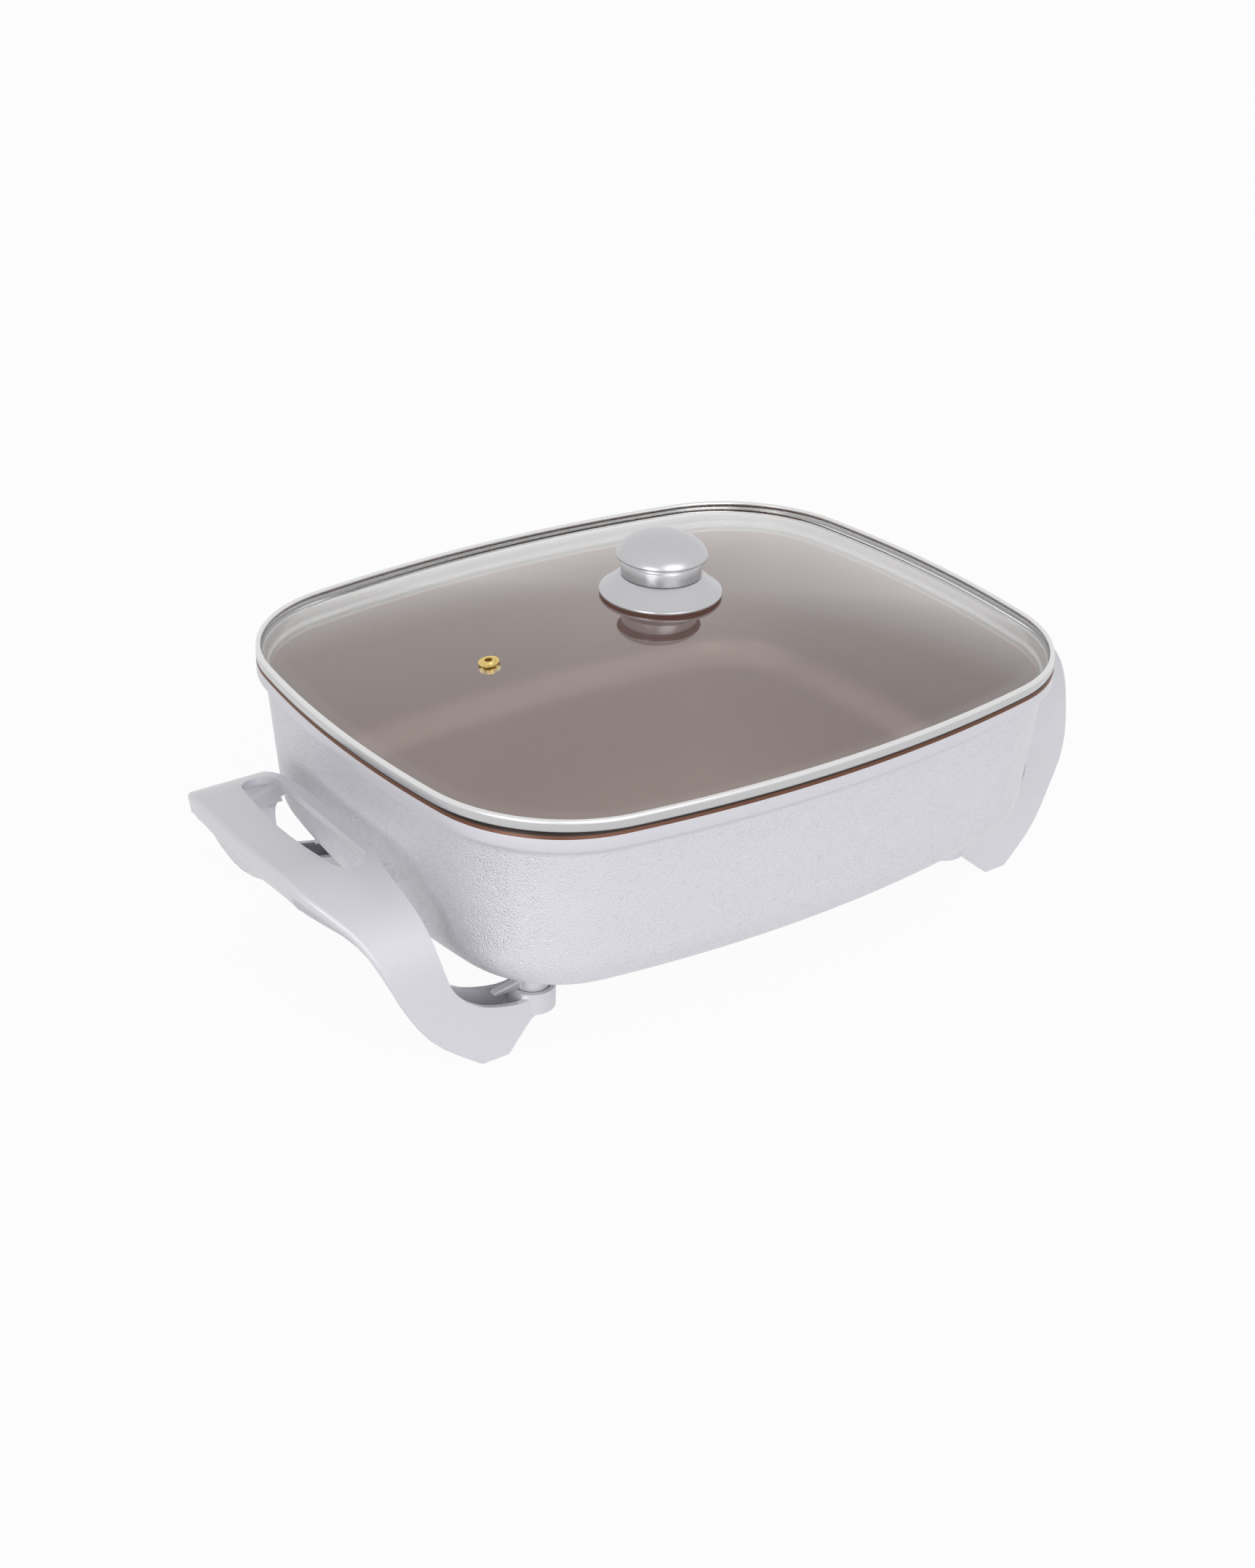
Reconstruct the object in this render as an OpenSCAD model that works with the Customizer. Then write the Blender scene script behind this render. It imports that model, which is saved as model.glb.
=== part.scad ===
// Electric skillet: a deep cast pan on two arch handles that are also its legs,
// with a lift-off domed glass lid.
// Frame: origin on the table under the middle of the pan, +X towards the plug end,
// +Y towards the back, +Z up. All sizes in millimetres.

/* [Pan] */
// Length of the pan over the rim, along the handles
pan_length = 397.6; // [340:0.2:440]
// Width of the pan over the rim
pan_width = 323.6; // [280:0.2:340]
// Radius of the rim's four corners, seen from above
pan_corner_r = 75.8; // [60:0.2:90]
// How far the long sides bow outwards
long_side_bow = 26.7; // [15:0.1:32]
// How far the short sides bow outwards
short_side_bow = 22.5; // [14:0.1:28]
// Height of the rim's crown above the table
rim_z = 142.5; // [130:0.5:160]
// Height of the pan's flat underside above the table
base_z = 41; // [38:0.5:46]
// Height of the sloping coated edge of the rim
rim_bevel_h = 4; // [2:0.5:6]
// Height of the smooth band around the rim
rim_band_h = 6.5; // [4:0.5:10]
// How far the wall steps in below the rim band
rim_step = 4.7; // [3.5:0.1:7]
// Draft of the wall, sideways travel for each millimetre of depth
wall_draft = 0.088; // [0.04:0.002:0.12]
// Thickness of the cast wall
wall_t = 3.6; // [3:0.1:5]
// Thickness of the cast base
base_t = 5; // [4.5:0.1:7]
// Outer radius between wall and base
base_fillet_r = 24; // [18:0.5:32]
// Depth of the small ledge inside the rim, below the crown
ledge_drop = 7; // [5:0.5:12]
// Width of the small ledge inside the rim
ledge_w = 2; // [1:0.1:3]

/* [Lid] */
// How far the lid's steel band stands out past the rim at the middle of a side
lid_overhang = 1.2; // [0:0.1:4]
// Radius of the lid's corners, seen from above
lid_corner_r = 83.6; // [70:0.2:95]
// Height of the steel band
band_h = 5.5; // [5:0.1:8]
// Width of the steel band
band_w = 2.8; // [2.4:0.1:6]
// How far the band's outer side hangs below its lower lip, outside the rim
band_skirt = 0.8; // [0.2:0.1:1.6]
// Thickness of the band's sheet steel
band_t = 0.5; // [0.4:0.1:0.8]
// Thickness of the glass
glass_t = 3; // [2.5:0.1:3.5]
// Width of the flat margin of the glass, from the band's outer side
glass_margin = 7.6; // [5:0.2:14]
// Rise of the glass from the band to its middle
dome_h = 28.7; // [15:0.1:45]
// Gap between the closed lid and the rim
lid_gap = 0.3; // [0.1:0.1:1]
// Distance of the steam vent from the middle, along the pan
vent_x = 115; // [80:0.5:130]
// Distance of the steam vent from the middle, across the pan
vent_y = 9.5; // [0:0.5:40]
// Radius of the steam hole through the vent
vent_bore_r = 2; // [1:0.1:3]
// Outer radius of the vent's ring
vent_ring_r = 5.4; // [4.5:0.1:8]

/* [Knob] */
// Radius of the wide disc under the knob
flange_r = 33; // [28:0.5:40]
// Height of the disc's outer edge
flange_edge_h = 1.8; // [1:0.1:3]
// Rise of the disc from its edge to the neck
flange_rise = 8.6; // [5:0.1:12]
// Radius of the knob's neck
neck_r = 21.5; // [18:0.1:24]
// Height of the knob's neck
neck_h = 10.2; // [6:0.1:16]
// Radius of the knob's head
head_r = 24.5; // [22:0.1:32]
// Height of the head's dome above its lower edge
head_h = 12.8; // [8:0.1:24]
// Radius of the screw that holds the knob
knob_screw_r = 2.5; // [2:0.1:3]

/* [Handles] */
// Distance from the middle of the pan to the outer edge of each grip
grip_reach = 256.6; // [240:0.2:275]
// How far the grip's outer edge bows outwards between its shoulders
grip_bow = 2.4; // [0:0.2:6]
// Height of the top of the grips
grip_z = 103; // [95:0.5:115]
// Radius of the rounded shoulder between grip and leg
shoulder_r = 58; // [50:1:70]
// Half distance between the outer faces of a handle's legs, at shoulder height
leg_half_span = 96.6; // [90:0.2:110]
// How far each leg spreads further out at the table
leg_flare = 7.6; // [0:0.2:12]
// Depth of each leg, front to back
leg_depth = 22; // [20:0.5:26]
// How much nearer the pan the outer edge of a leg's inner face is
leg_taper = 10.3; // [6:0.1:14]
// Distance from the middle of the pan to the foot's outer edge
foot_out = 180.2; // [172:0.2:186]
// Distance from the middle of the pan to the foot's inner edge
foot_in = 164; // [156:0.2:168]
// Thickness of the moulded walls
mould_t = 2.8; // [2.2:0.1:3.5]
// Rounding of the handles' outer edges
edge_r = 2; // [0.6:0.1:2.4]
// Thickness of the grip's top plate
plate_t = 4; // [3:0.1:6]
// Height of the smooth strip along the grip's outer edge
strip_h = 9; // [7:0.5:12]
// Length of the hand hole, along the grip
hand_hole_l = 106; // [90:1:108]
// Distance from the middle of the pan to the hand hole's inner side
hand_hole_in = 209.8; // [207:0.2:214]
// Width of the grip's bar outside the hand hole, at its middle
grip_bar_w = 23.4; // [20:0.2:26]
// How far the hand hole narrows towards its ends
hand_hole_bow = 5.4; // [2:0.2:8]
// Distance from the middle of the pan to the grip's inner edge
grip_in = 202.6; // [201:0.2:205]
// Depth of the shell under the grip, below the smooth strip
underside_h = 8; // [5:0.5:12]
// Set-back of that shell from the smooth strip
underside_inset = 1.2; // [0.6:0.1:3]
// Length of the shell under the grip
underside_l = 106; // [96:1:110]

/* [Mounting] */
// Distance of the leg screws from the middle, along the pan
lug_x = 141; // [132:0.5:143]
// Distance of the leg screws from the middle, across the pan
lug_y = 90; // [86:0.5:92]
// Radius of the pan's cast lugs
lug_r = 9; // [8:0.1:9.6]
// Height of the flat lower face of the lugs
lug_z = 24; // [22:0.5:28]
// Outer radius of the cup at the end of each leg
cup_r = 12.2; // [12:0.1:15]
// Height of the cup's lower face
cup_z = 15; // [12:0.5:16]
// Radius of the leg screws
leg_screw_r = 2.5; // [2:0.1:3]
// Radius of the leg screws' heads
leg_head_r = 4.6; // [4:0.1:5.5]
// Thickness of the insulating washers
washer_t = 1.5; // [1:0.1:2]
// Radius of the screws that close the grips
grip_screw_r = 1.5; // [1.2:0.1:2]
// Half distance between the two screws of a grip
grip_screw_y = 38; // [25:1:42]

/* [Heating] */
// Radius of the tubular heating element
element_r = 4; // [3:0.1:5]
// Half length of the element's loop
loop_half_l = 110; // [90:1:115]
// Half width of the element's loop
loop_half_w = 78; // [65:1:82]
// Radius of the loop's corners
loop_corner_r = 40; // [30:1:42]
// Radius of the bends where the loop turns to the terminals
loop_turn_r = 20; // [14:1:22]
// Distance between the two terminal pins
pin_pitch = 25.4; // [22:0.1:30]
// Radius of the terminal pins
pin_r = 2.4; // [2:0.1:3]
// Free length of the terminal pins
pin_l = 26; // [18:0.5:32]
// Distance from the middle to the inner wall of the terminal guard
guard_x = 150; // [146:0.5:156]
// Length of the terminal guard
guard_l = 46; // [36:1:48]
// Outer width of the terminal guard
guard_w = 58; // [50:1:64]
// Height of the terminal guard's lower edge
guard_z = 23; // [18:0.5:26]
// Thickness of the guard's sheet steel
guard_t = 1.2; // [0.8:0.1:2]
// Radius of the hole for the thermostat probe
probe_r = 3.4; // [3:0.1:4]
// Outer radius of the probe sleeve
sleeve_r = 5; // [4.5:0.1:6]
// Length of the probe sleeve
sleeve_l = 66; // [40:1:80]

/* [Hidden] */

// clearances
slip = 0.1;            // between a round piece and its hole
seat = 0.3;            // between a moulded piece and what it sits in
eps = 0.01;            // overlap that makes two solids one

// colours
c_pan = [0.82, 0.82, 0.86];
c_plastic = [0.80, 0.80, 0.84];
c_steel = [0.75, 0.75, 0.76];
c_dark = [0.45, 0.45, 0.47];
c_brass = [0.80, 0.66, 0.30];
c_ceramic = [0.93, 0.92, 0.88];

// ---------------------------------------------------------------- rounded outline
// A rounded rectangle with bowed sides is eight tangent arcs. arcs() holds the
// centres and radii of one quarter; ring() is the closed outline moved inwards by d.
n_side = 4;            // steps in half a short side and half a long side
n_corner = 10;         // steps in a corner
function arcs(a, b, r, ba, bb) =
    let (rl = (a * a + ba * ba) / (2 * ba), rs = (b * b + bb * bb) / (2 * bb),
         cl = [0, b - rl], cs = [a - rs, 0],
         v = cs - cl, d = norm(v), e = v / d, q = [e.y, -e.x],
         t = ((rl - r) * (rl - r) - (rs - r) * (rs - r) + d * d) / (2 * d),
         h = sqrt(max(0, (rl - r) * (rl - r) - t * t)),
         c = cl + e * t + q * h,
         al = atan2((c - cl).y, (c - cl).x), as = atan2((c - cs).y, (c - cs).x))
    [cl, rl, cs, rs, c, r, al, as];
function at_angle(c, r, w) = [c.x + r * cos(w), c.y + r * sin(w)];
function quarter(k, d) = concat(
    [for (i = [0:n_side - 1]) at_angle(k[2], k[3] - d, k[7] * i / n_side)],
    [for (i = [0:n_corner - 1]) at_angle(k[4], k[5] - d, k[7] + (k[6] - k[7]) * i / n_corner)],
    [for (i = [0:n_side]) at_angle(k[0], k[1] - d, k[6] + (90 - k[6]) * i / n_side)]);
function ring(k, d) =
    let (q = quarter(k, d), n = len(q) - 1)
    concat([for (i = [0:n - 1]) q[i]], [for (i = [n:-1:1]) [-q[i].x, q[i].y]],
           [for (i = [0:n - 1]) [-q[i].x, -q[i].y]], [for (i = [n:-1:1]) [q[i].x, -q[i].y]]);

pan_arcs = arcs(pan_length / 2, pan_width / 2, pan_corner_r, long_side_bow, short_side_bow);
// the lid's sides are the pan's, moved out by the overhang, with rounder corners
lid_a = pan_length / 2 + lid_overhang;
lid_b = pan_width / 2 + lid_overhang;
lid_bow_l = pan_arcs[1] + lid_overhang - sqrt(pow(pan_arcs[1] + lid_overhang, 2) - lid_a * lid_a);
lid_bow_s = pan_arcs[3] + lid_overhang - sqrt(pow(pan_arcs[3] + lid_overhang, 2) - lid_b * lid_b);
lid_arcs = arcs(lid_a, lid_b, lid_corner_r, lid_bow_l, lid_bow_s);

// A closed skin through rings of equal length, with flat ends (or joined end to start)
module skin(rings, closed = false) {
    n = len(rings[0]);
    m = len(rings);
    last = closed ? m - 1 : m - 2;
    sides = [for (k = [0:last], i = [0:n - 1])
        let (j = (i + 1) % n, k2 = (k + 1) % m, a = k * n + i, b = k * n + j,
             c = k2 * n + i, d = k2 * n + j) each [[a, b, d], [a, d, c]]];
    ends = closed ? [] : [[for (i = [n - 1:-1:0]) i], [for (i = [0:n - 1]) (m - 1) * n + i]];
    polyhedron([for (r = rings) each r], concat(sides, ends), convexity = 6);
}
function lift(points, z) = [for (p = points) [p.x, p.y, z]];
function rings_of(k, section) = [for (s = section) lift(ring(k, s[0]), s[1])];

// ---------------------------------------------------------------- pan
rim_band_top = rim_z - rim_bevel_h;
rim_band_bottom = rim_band_top - rim_band_h;
wall_top = rim_band_bottom - 6;
fillet_top = base_z + base_fillet_r;
function wall_inset(z) = rim_step + (wall_top - z) * wall_draft;
inner_fillet_r = base_fillet_r - wall_t;
floor_z = base_z + base_t;
inner_fillet_top = floor_z + inner_fillet_r;
fillet_steps = 6;
crown_in = 1.9;        // inset of the crown's outer edge
crown_w = 2;           // width of the flat crown
pan_section = concat(
    // from the floor up the inside
    [for (i = [0:fillet_steps]) let (w = 90 * i / fillet_steps)
        [wall_inset(inner_fillet_top) + wall_t + inner_fillet_r * (1 - sin(w)),
         inner_fillet_top - inner_fillet_r * cos(w)]],
    [[wall_inset(rim_z - ledge_drop - 1) + wall_t, rim_z - ledge_drop - 1.5],
     [crown_in + crown_w + 1.4 + ledge_w * 0.4, rim_z - ledge_drop],
     [crown_in + crown_w + 1, rim_z - ledge_drop + 1.5],
     [crown_in + crown_w + 0.6, rim_z - 1.2],
     [crown_in + crown_w, rim_z],
    // over the crown and down the outside
     [crown_in, rim_z], [crown_in * 0.6, rim_z - rim_bevel_h * 0.3],
     [crown_in * 0.25, rim_z - rim_bevel_h * 0.65], [0, rim_band_top],
     [0, rim_band_bottom], [0.8, rim_band_bottom - 1], [rim_step - 0.8, wall_top + 2],
     [wall_inset(wall_top), wall_top]],
    [for (i = [0:fillet_steps]) let (w = 90 * i / fillet_steps)
        [wall_inset(fillet_top) + base_fillet_r * (1 - cos(w)),
         fillet_top - base_fillet_r * sin(w)]]);

// channel under the base that carries the element
rib_w = 2 * element_r + 7;
rib_h = element_r + 5;
rib_z = base_z - rib_h;
element_z = rib_z + element_r - 1;
lug_bore_depth = base_z + base_t - 6 - lug_z;
guard_top = base_z - 0.5;
ear_x = guard_x + 6;
ear_y = guard_w / 2 + 6;
ear_r = 5.5;
bushing_l = 8;
bushing_r = element_r + 0.6;
pin_shank_r = pin_r - 0.4;      // the pin's thinner part, held by the insulator
pin_shoulder = 0.5;             // from the insulator to the full width of the pin

module arc_strip(r, w) {
    difference() {
        intersection() {
            circle(r + w / 2, $fn = 96);
            square(r + w);
        }
        circle(r - w / 2, $fn = 96);
    }
}
// Plan of the element's path, as wide as w and as far as x = x_end
module loop_strip(w, x_end) {
    turn_y = pin_pitch / 2 + loop_turn_r;
    straight_x = loop_half_l - loop_corner_r;
    straight_y = loop_half_w - loop_corner_r;
    for (s = [0, 1]) mirror([0, s]) {
        translate([-straight_x, straight_y]) rotate(90) arc_strip(loop_corner_r, w);
        translate([straight_x, straight_y]) arc_strip(loop_corner_r, w);
        translate([loop_half_l + loop_turn_r, turn_y]) rotate(180) arc_strip(loop_turn_r, w);
        translate([-straight_x, loop_half_w - w / 2]) square([2 * straight_x, w]);
        translate([-loop_half_l - w / 2, -eps]) square([w, straight_y + eps]);
        translate([loop_half_l - w / 2, turn_y]) square([w, straight_y - turn_y]);
        translate([loop_half_l + loop_turn_r, pin_pitch / 2 - w / 2])
            square([x_end - loop_half_l - loop_turn_r, w]);
    }
}
module at_lugs() {
    for (sx = [0, 1], sy = [0, 1]) mirror([sx, 0]) mirror([0, sy])
        translate([lug_x, lug_y]) children();
}
module pan_lug() {
    translate([0, 0, lug_z]) cylinder(r = lug_r, h = base_z + 1 - lug_z, $fn = 64);
    // fin that keeps the leg from turning
    rotate([90, 0, 0]) linear_extrude(4, center = true)
        polygon([[0, lug_z + 3.2], [lug_r + 13, lug_z + 3.6], [lug_r + 15, lug_z + 4.6],
                 [lug_r + 13.5, lug_z + 5.8], [0, lug_z + 9]]);
}
module pan() {
    color(c_pan) difference() {
        union() {
            skin(rings_of(pan_arcs, pan_section));
            translate([0, 0, rib_z]) linear_extrude(rib_h + 1) loop_strip(rib_w, guard_x - 2);
            translate([guard_x - sleeve_l, -sleeve_r - 3, rib_z])
                cube([sleeve_l - 4, 2 * sleeve_r + 6, rib_h + 1]);
            at_lugs() pan_lug();
        }
        translate([0, 0, rib_z - eps])
            linear_extrude(2 * element_r - 1 + slip + eps) loop_strip(2 * (element_r + slip), guard_x);
        translate([guard_x - sleeve_l - eps, 0, element_z]) rotate([0, 90, 0])
            cylinder(r = sleeve_r + slip / 2, h = sleeve_l + 10, $fn = 64);
        at_lugs() translate([0, 0, lug_z - eps])
            cylinder(r = leg_screw_r + slip / 2, h = lug_bore_depth, $fn = 48);
        for (s = [-1, 1]) translate([ear_x, s * ear_y, base_z - eps])
            cylinder(r = grip_screw_r + slip / 2, h = base_t - 1, $fn = 32);
    }
}

// ---------------------------------------------------------------- heating
module element_arc(r, a) {
    rotate([0, 0, a]) rotate_extrude(angle = 90, $fn = 96)
        translate([r, 0]) circle(element_r, $fn = 32);
}
module element_rod(l) { rotate([0, 90, 0]) cylinder(r = element_r, h = l, $fn = 32); }
module heating_element() {
    turn_y = pin_pitch / 2 + loop_turn_r;
    straight_x = loop_half_l - loop_corner_r;
    straight_y = loop_half_w - loop_corner_r;
    color(c_dark) translate([0, 0, element_z]) for (s = [0, 1]) mirror([0, s, 0]) {
        translate([-straight_x, straight_y, 0]) element_arc(loop_corner_r, 90);
        translate([straight_x, straight_y, 0]) element_arc(loop_corner_r, 0);
        translate([loop_half_l + loop_turn_r, turn_y, 0]) element_arc(loop_turn_r, 180);
        translate([-straight_x, loop_half_w, 0]) element_rod(2 * straight_x);
        translate([-loop_half_l, -eps, 0]) rotate([0, 0, 90]) element_rod(straight_y + eps);
        translate([loop_half_l, turn_y, 0]) rotate([0, 0, 90]) element_rod(straight_y - turn_y);
        translate([loop_half_l + loop_turn_r, pin_pitch / 2, 0])
            element_rod(guard_x - 2 - loop_half_l - loop_turn_r);
    }
}
module at_terminals(x) {
    for (s = [-1, 1]) translate([x, s * pin_pitch / 2, element_z]) rotate([0, 90, 0]) children();
}
module terminal_insulators() {
    color(c_ceramic) at_terminals(guard_x - 2) difference() {
        union() {
            cylinder(r = bushing_r, h = bushing_l, $fn = 48);
            translate([0, 0, 2 + guard_t + slip]) cylinder(r = bushing_r + 1, h = 2, $fn = 48);
        }
        translate([0, 0, -eps]) cylinder(r = pin_shank_r + slip / 2, h = bushing_l + 1, $fn = 48);
    }
}
module terminal_pins() {
    color(c_steel) at_terminals(guard_x - 2) {
        cylinder(r = pin_shank_r, h = bushing_l + pin_shoulder + eps, $fn = 48);
        translate([0, 0, bushing_l + pin_shoulder])
            cylinder(r = pin_r, h = pin_l - pin_r - pin_shoulder, $fn = 48);
        translate([0, 0, bushing_l + pin_l - pin_r]) sphere(r = pin_r, $fn = 48);
    }
}
module probe_sleeve() {
    color(c_steel) translate([guard_x - sleeve_l + slip, 0, element_z]) rotate([0, 90, 0])
        difference() {
            cylinder(r = sleeve_r, h = sleeve_l + 6, $fn = 64);
            translate([0, 0, 3]) cylinder(r = probe_r, h = sleeve_l + 6, $fn = 64);
        }
}
module terminal_guard() {
    color(c_steel) difference() {
        union() {
            difference() {
                translate([guard_x, -guard_w / 2, guard_z])
                    cube([guard_l, guard_w, guard_top - guard_z]);
                translate([guard_x + guard_t, -guard_w / 2 + guard_t, guard_z + guard_t])
                    cube([guard_l, guard_w - 2 * guard_t, guard_top]);
            }
            for (s = [-1, 1]) {
                translate([ear_x, s * ear_y, guard_top - guard_t])
                    cylinder(r = ear_r, h = guard_t, $fn = 48);
                translate([ear_x - ear_r, s > 0 ? guard_w / 2 - 1 : -ear_y, guard_top - guard_t])
                    cube([2 * ear_r, ear_y - guard_w / 2 + 1, guard_t]);
            }
        }
        at_terminals(guard_x - 1) cylinder(r = bushing_r + slip, h = 4, $fn = 48);
        translate([guard_x - 1, 0, element_z]) rotate([0, 90, 0])
            cylinder(r = sleeve_r + slip, h = 4, $fn = 64);
        for (s = [-1, 1]) translate([ear_x, s * ear_y, guard_top - guard_t - 1])
            cylinder(r = grip_screw_r + 0.25, h = guard_t + 2, $fn = 32);
        // the back wall is cut away where the pan's ribs pass
        translate([guard_x - 1, -guard_w, rib_z + rib_h + 1]) cube([3, 2 * guard_w, 10]);
    }
}
// Pan-head screw pointing up, from the bottom of its head, with a cross recess
module screw(r, l, head_r, head_h) {
    difference() {
        union() {
            cylinder(r1 = head_r - 0.6, r2 = head_r, h = head_h / 2, $fn = 48);
            translate([0, 0, head_h / 2]) cylinder(r = head_r, h = head_h / 2, $fn = 48);
        }
        for (w = [0, 90]) rotate(w) translate([0, 0, head_h * 0.3 - 1])
            cube([head_r * 1.1, head_r * 0.24, head_h * 0.6 + 2], center = true);
    }
    translate([0, 0, head_h - eps]) cylinder(r = r, h = l + eps, $fn = 48);
}
module guard_screws() {
    color(c_steel) for (s = [-1, 1]) translate([ear_x, s * ear_y, guard_top - guard_t - 2])
        screw(grip_screw_r, guard_t + base_t - 1, 2.9, 2);
}

// ---------------------------------------------------------------- handles
// Each handle is an arch: two legs, two round shoulders and a flat grip. It is
// worked out for the +X end; the other one is its mirror image.
arch_y = leg_half_span - shoulder_r;
arch_z = grip_z - shoulder_r;
hole_half = hand_hole_l / 2;
hand_hole_w = grip_reach - grip_bar_w - hand_hole_in;
far = grip_reach + 50;      // beyond the handle on every side
cup_seat_z = lug_z - washer_t;
cup_top = lug_z + 3;

// Smooth curve through points (Catmull-Rom), n steps between two of them
function catmull(a, b, c, d, t) = 0.5 * (2 * b + (c - a) * t + (2 * a - 5 * b + 4 * c - d) * t * t
    + (3 * b - a - 3 * c + d) * t * t * t);
function smooth(p, n) = let (m = len(p) - 1) concat(
    [for (i = [0:m - 1], k = [0:n - 1])
        catmull(p[max(0, i - 1)], p[i], p[i + 1], p[min(m, i + 2)], k / n)],
    [p[m]]);
function ease(t) = let (c = min(1, max(0, t))) c * c * (3 - 2 * c);
// outer edge of a leg seen from the front, as shares of its reach and height
edge_x = grip_reach - foot_out;
outer_edge = smooth([for (p = [[0, 0], [0.30, 0.165], [0.49, 0.37], [0.62, 0.58], [0.745, 0.78],
                               [0.895, 0.92], [0.975, 0.985], [1.0, 1.01]])
                     [foot_out + edge_x * p.x, grip_z * p.y]], 4);
function edge_at(z) = lookup(z, [for (p = outer_edge) [p.y, p.x]]);
// inner edge of a leg, from the grip down to the cup
plate_half = hole_half + 5;            // where the grip's plate meets the legs
plate_flare = 4.2;
function inner_x(y) = grip_in + plate_flare * pow(y / plate_half, 2);
inner_edge = smooth([[inner_x(plate_half) + 0.6, grip_z + 1], [inner_x(plate_half), grip_z - 4],
                     [grip_in + 2.7, grip_z - 10.6], [grip_in - 0.6, grip_z - 20.5],
                     [grip_in - 3.2, grip_z - 32], [grip_in - 7.8, grip_z - 52],
                     [grip_in - 14, grip_z - 64], [grip_in - 27, grip_z - 74],
                     [lug_x + 14, cup_top - 3.2], [lug_x, cup_top - 2]], 3);
module leg_profile() {
    rotate([90, 0, 0]) linear_extrude(2 * far, center = true) polygon(concat(
        [[foot_in, 0], [far, 0], [far, grip_z + 1]], inner_edge,
        [[lug_x, cup_z], [lug_x + 5, cup_z], [lug_x + 8, cup_z - 1.5]]));
}
module leg_hollow() {
    // room for the hollow of a leg, open towards the pan
    t = mould_t;
    difference() {
        rotate([90, 0, 0]) linear_extrude(2 * far, center = true) polygon(
            [[foot_in + t * 0.7, t], [far, t], [far, far], [lug_x - 80, far],
             [lug_x - 80, cup_seat_z], [lug_x + 5, cup_seat_z], [lug_x + 8 + t, cup_z + 2]]);
        sole_cut(t * 1.25);
    }
}
// What lies under the slanted sole of the feet, raised by t
sole_y = leg_half_span + 0.4;
sole_slope = 0.7;
module sole_cut(t) {
    rotate([90, 0, 90]) linear_extrude(far) polygon(
        [[-sole_y, t - 20], [-sole_y, t], [-sole_y / 2, t + sole_slope * sole_y / 2],
         [sole_y / 2, t + sole_slope * sole_y / 2], [sole_y, t], [sole_y, t - 20]]);
}
// Point on the arch, s from 0 (foot) over 1 (shoulder's lower end) and 2 (its upper
// end) to 3 (middle of the grip), at a depth below the outer face
function arch_point(s, depth) =
    s < 1 ? [leg_half_span + leg_flare * pow(1 - s, 1.4) - depth, arch_z * s] :
    s < 2 ? let (w = 90 * (s - 1), r = shoulder_r - depth) [arch_y + r * cos(w), arch_z + r * sin(w)] :
    [arch_y * (3 - s), grip_z - depth];
function grip_edge(y) = grip_reach - grip_bow * pow(y / hole_half, 2);
function outer_x(s) = let (p = arch_point(s, 0), w = ease((abs(p.x) - hole_half) / 14))
    (1 - w) * grip_edge(p.x) + w * edge_at(p.y);
// depth of the strip, depth of the whole arch and how far its inner face is set back
grip_depth = strip_h + underside_h;
function strip_depth(s) = strip_h * ease((s - 1.15) / 0.55);
function arch_depth(s) = leg_depth + (grip_depth - leg_depth) * ease((s - 1.1) / 0.65);
function set_back(s) = leg_taper + lookup(s, [[0, 5], [0.4, 2.6], [0.9, 0], [1.15, 1.6],
                                              [1.3, 3.2], [1.6, 2.4], [2, 0]]);
stations = [0, 0.15, 0.3, 0.45, 0.6, 0.75, 0.9, 1, 1.08, 1.16, 1.24, 1.32, 1.4, 1.48, 1.56,
            1.64, 1.72, 1.8, 1.87, 1.94, 2, 2.4, 2.8];
// Block of the arch from a depth of top down to its inner face less up, from x_in out
// to the side wall moved in by inset
module arch_block(top, up, inset, x_in) {
    function section(s, m) =
        let (d = arch_depth(s) - up, ds = strip_depth(s), x = outer_x(s) - inset,
             step = underside_inset * ds / strip_h, round = ease((s - 1.15) / 0.55),
             d1 = max(top < edge_r ? edge_r + 0.3 : top + 0.3, ds),
             wall = [for (f = [0, 0.5, 0.8, 1])
                     let (flat = f * d / arch_depth(s), curved = 1 - sqrt(1 - f * f))
                     [d1 + 0.1 + (d - d1 - 0.1) * f,
                      step + (set_back(s) - step) * ((1 - round) * flat + round * curved)]],
             edge = top == 0 ? [for (w = [0, 30, 60, 90]) edge_r * [1 - cos(w), 1 - sin(w)]]
                             : [[top, top < ds ? 0 : step]],
             outside = concat(edge, [[d1, top < ds ? 0 : step]], wall))
        concat([for (q = outside) let (a = arch_point(s, q[0])) [x - q[1], m * a.x, a.y]],
               [for (q = [d, top]) let (a = arch_point(s, q)) [x_in, m * a.x, a.y]]);
    n = len(stations);
    skin(concat([for (i = [0:n - 1]) section(stations[i], 1)],
                [for (i = [n - 1:-1:0]) section(stations[i], -1)]));
}
module arch_face(d) {
    // front view of everything under the arch at depth d
    translate([0, arch_z]) {
        for (s = [-1, 1]) translate([s * arch_y, 0]) circle(shoulder_r - d, $fn = 128);
        translate([-arch_y, 0]) square([2 * arch_y, shoulder_r - d]);
        translate([-leg_half_span + d, -arch_z]) square([2 * (leg_half_span - d), arch_z]);
    }
}
module under_arch(d) { rotate([90, 0, 90]) linear_extrude(far) arch_face(d); }
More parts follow.
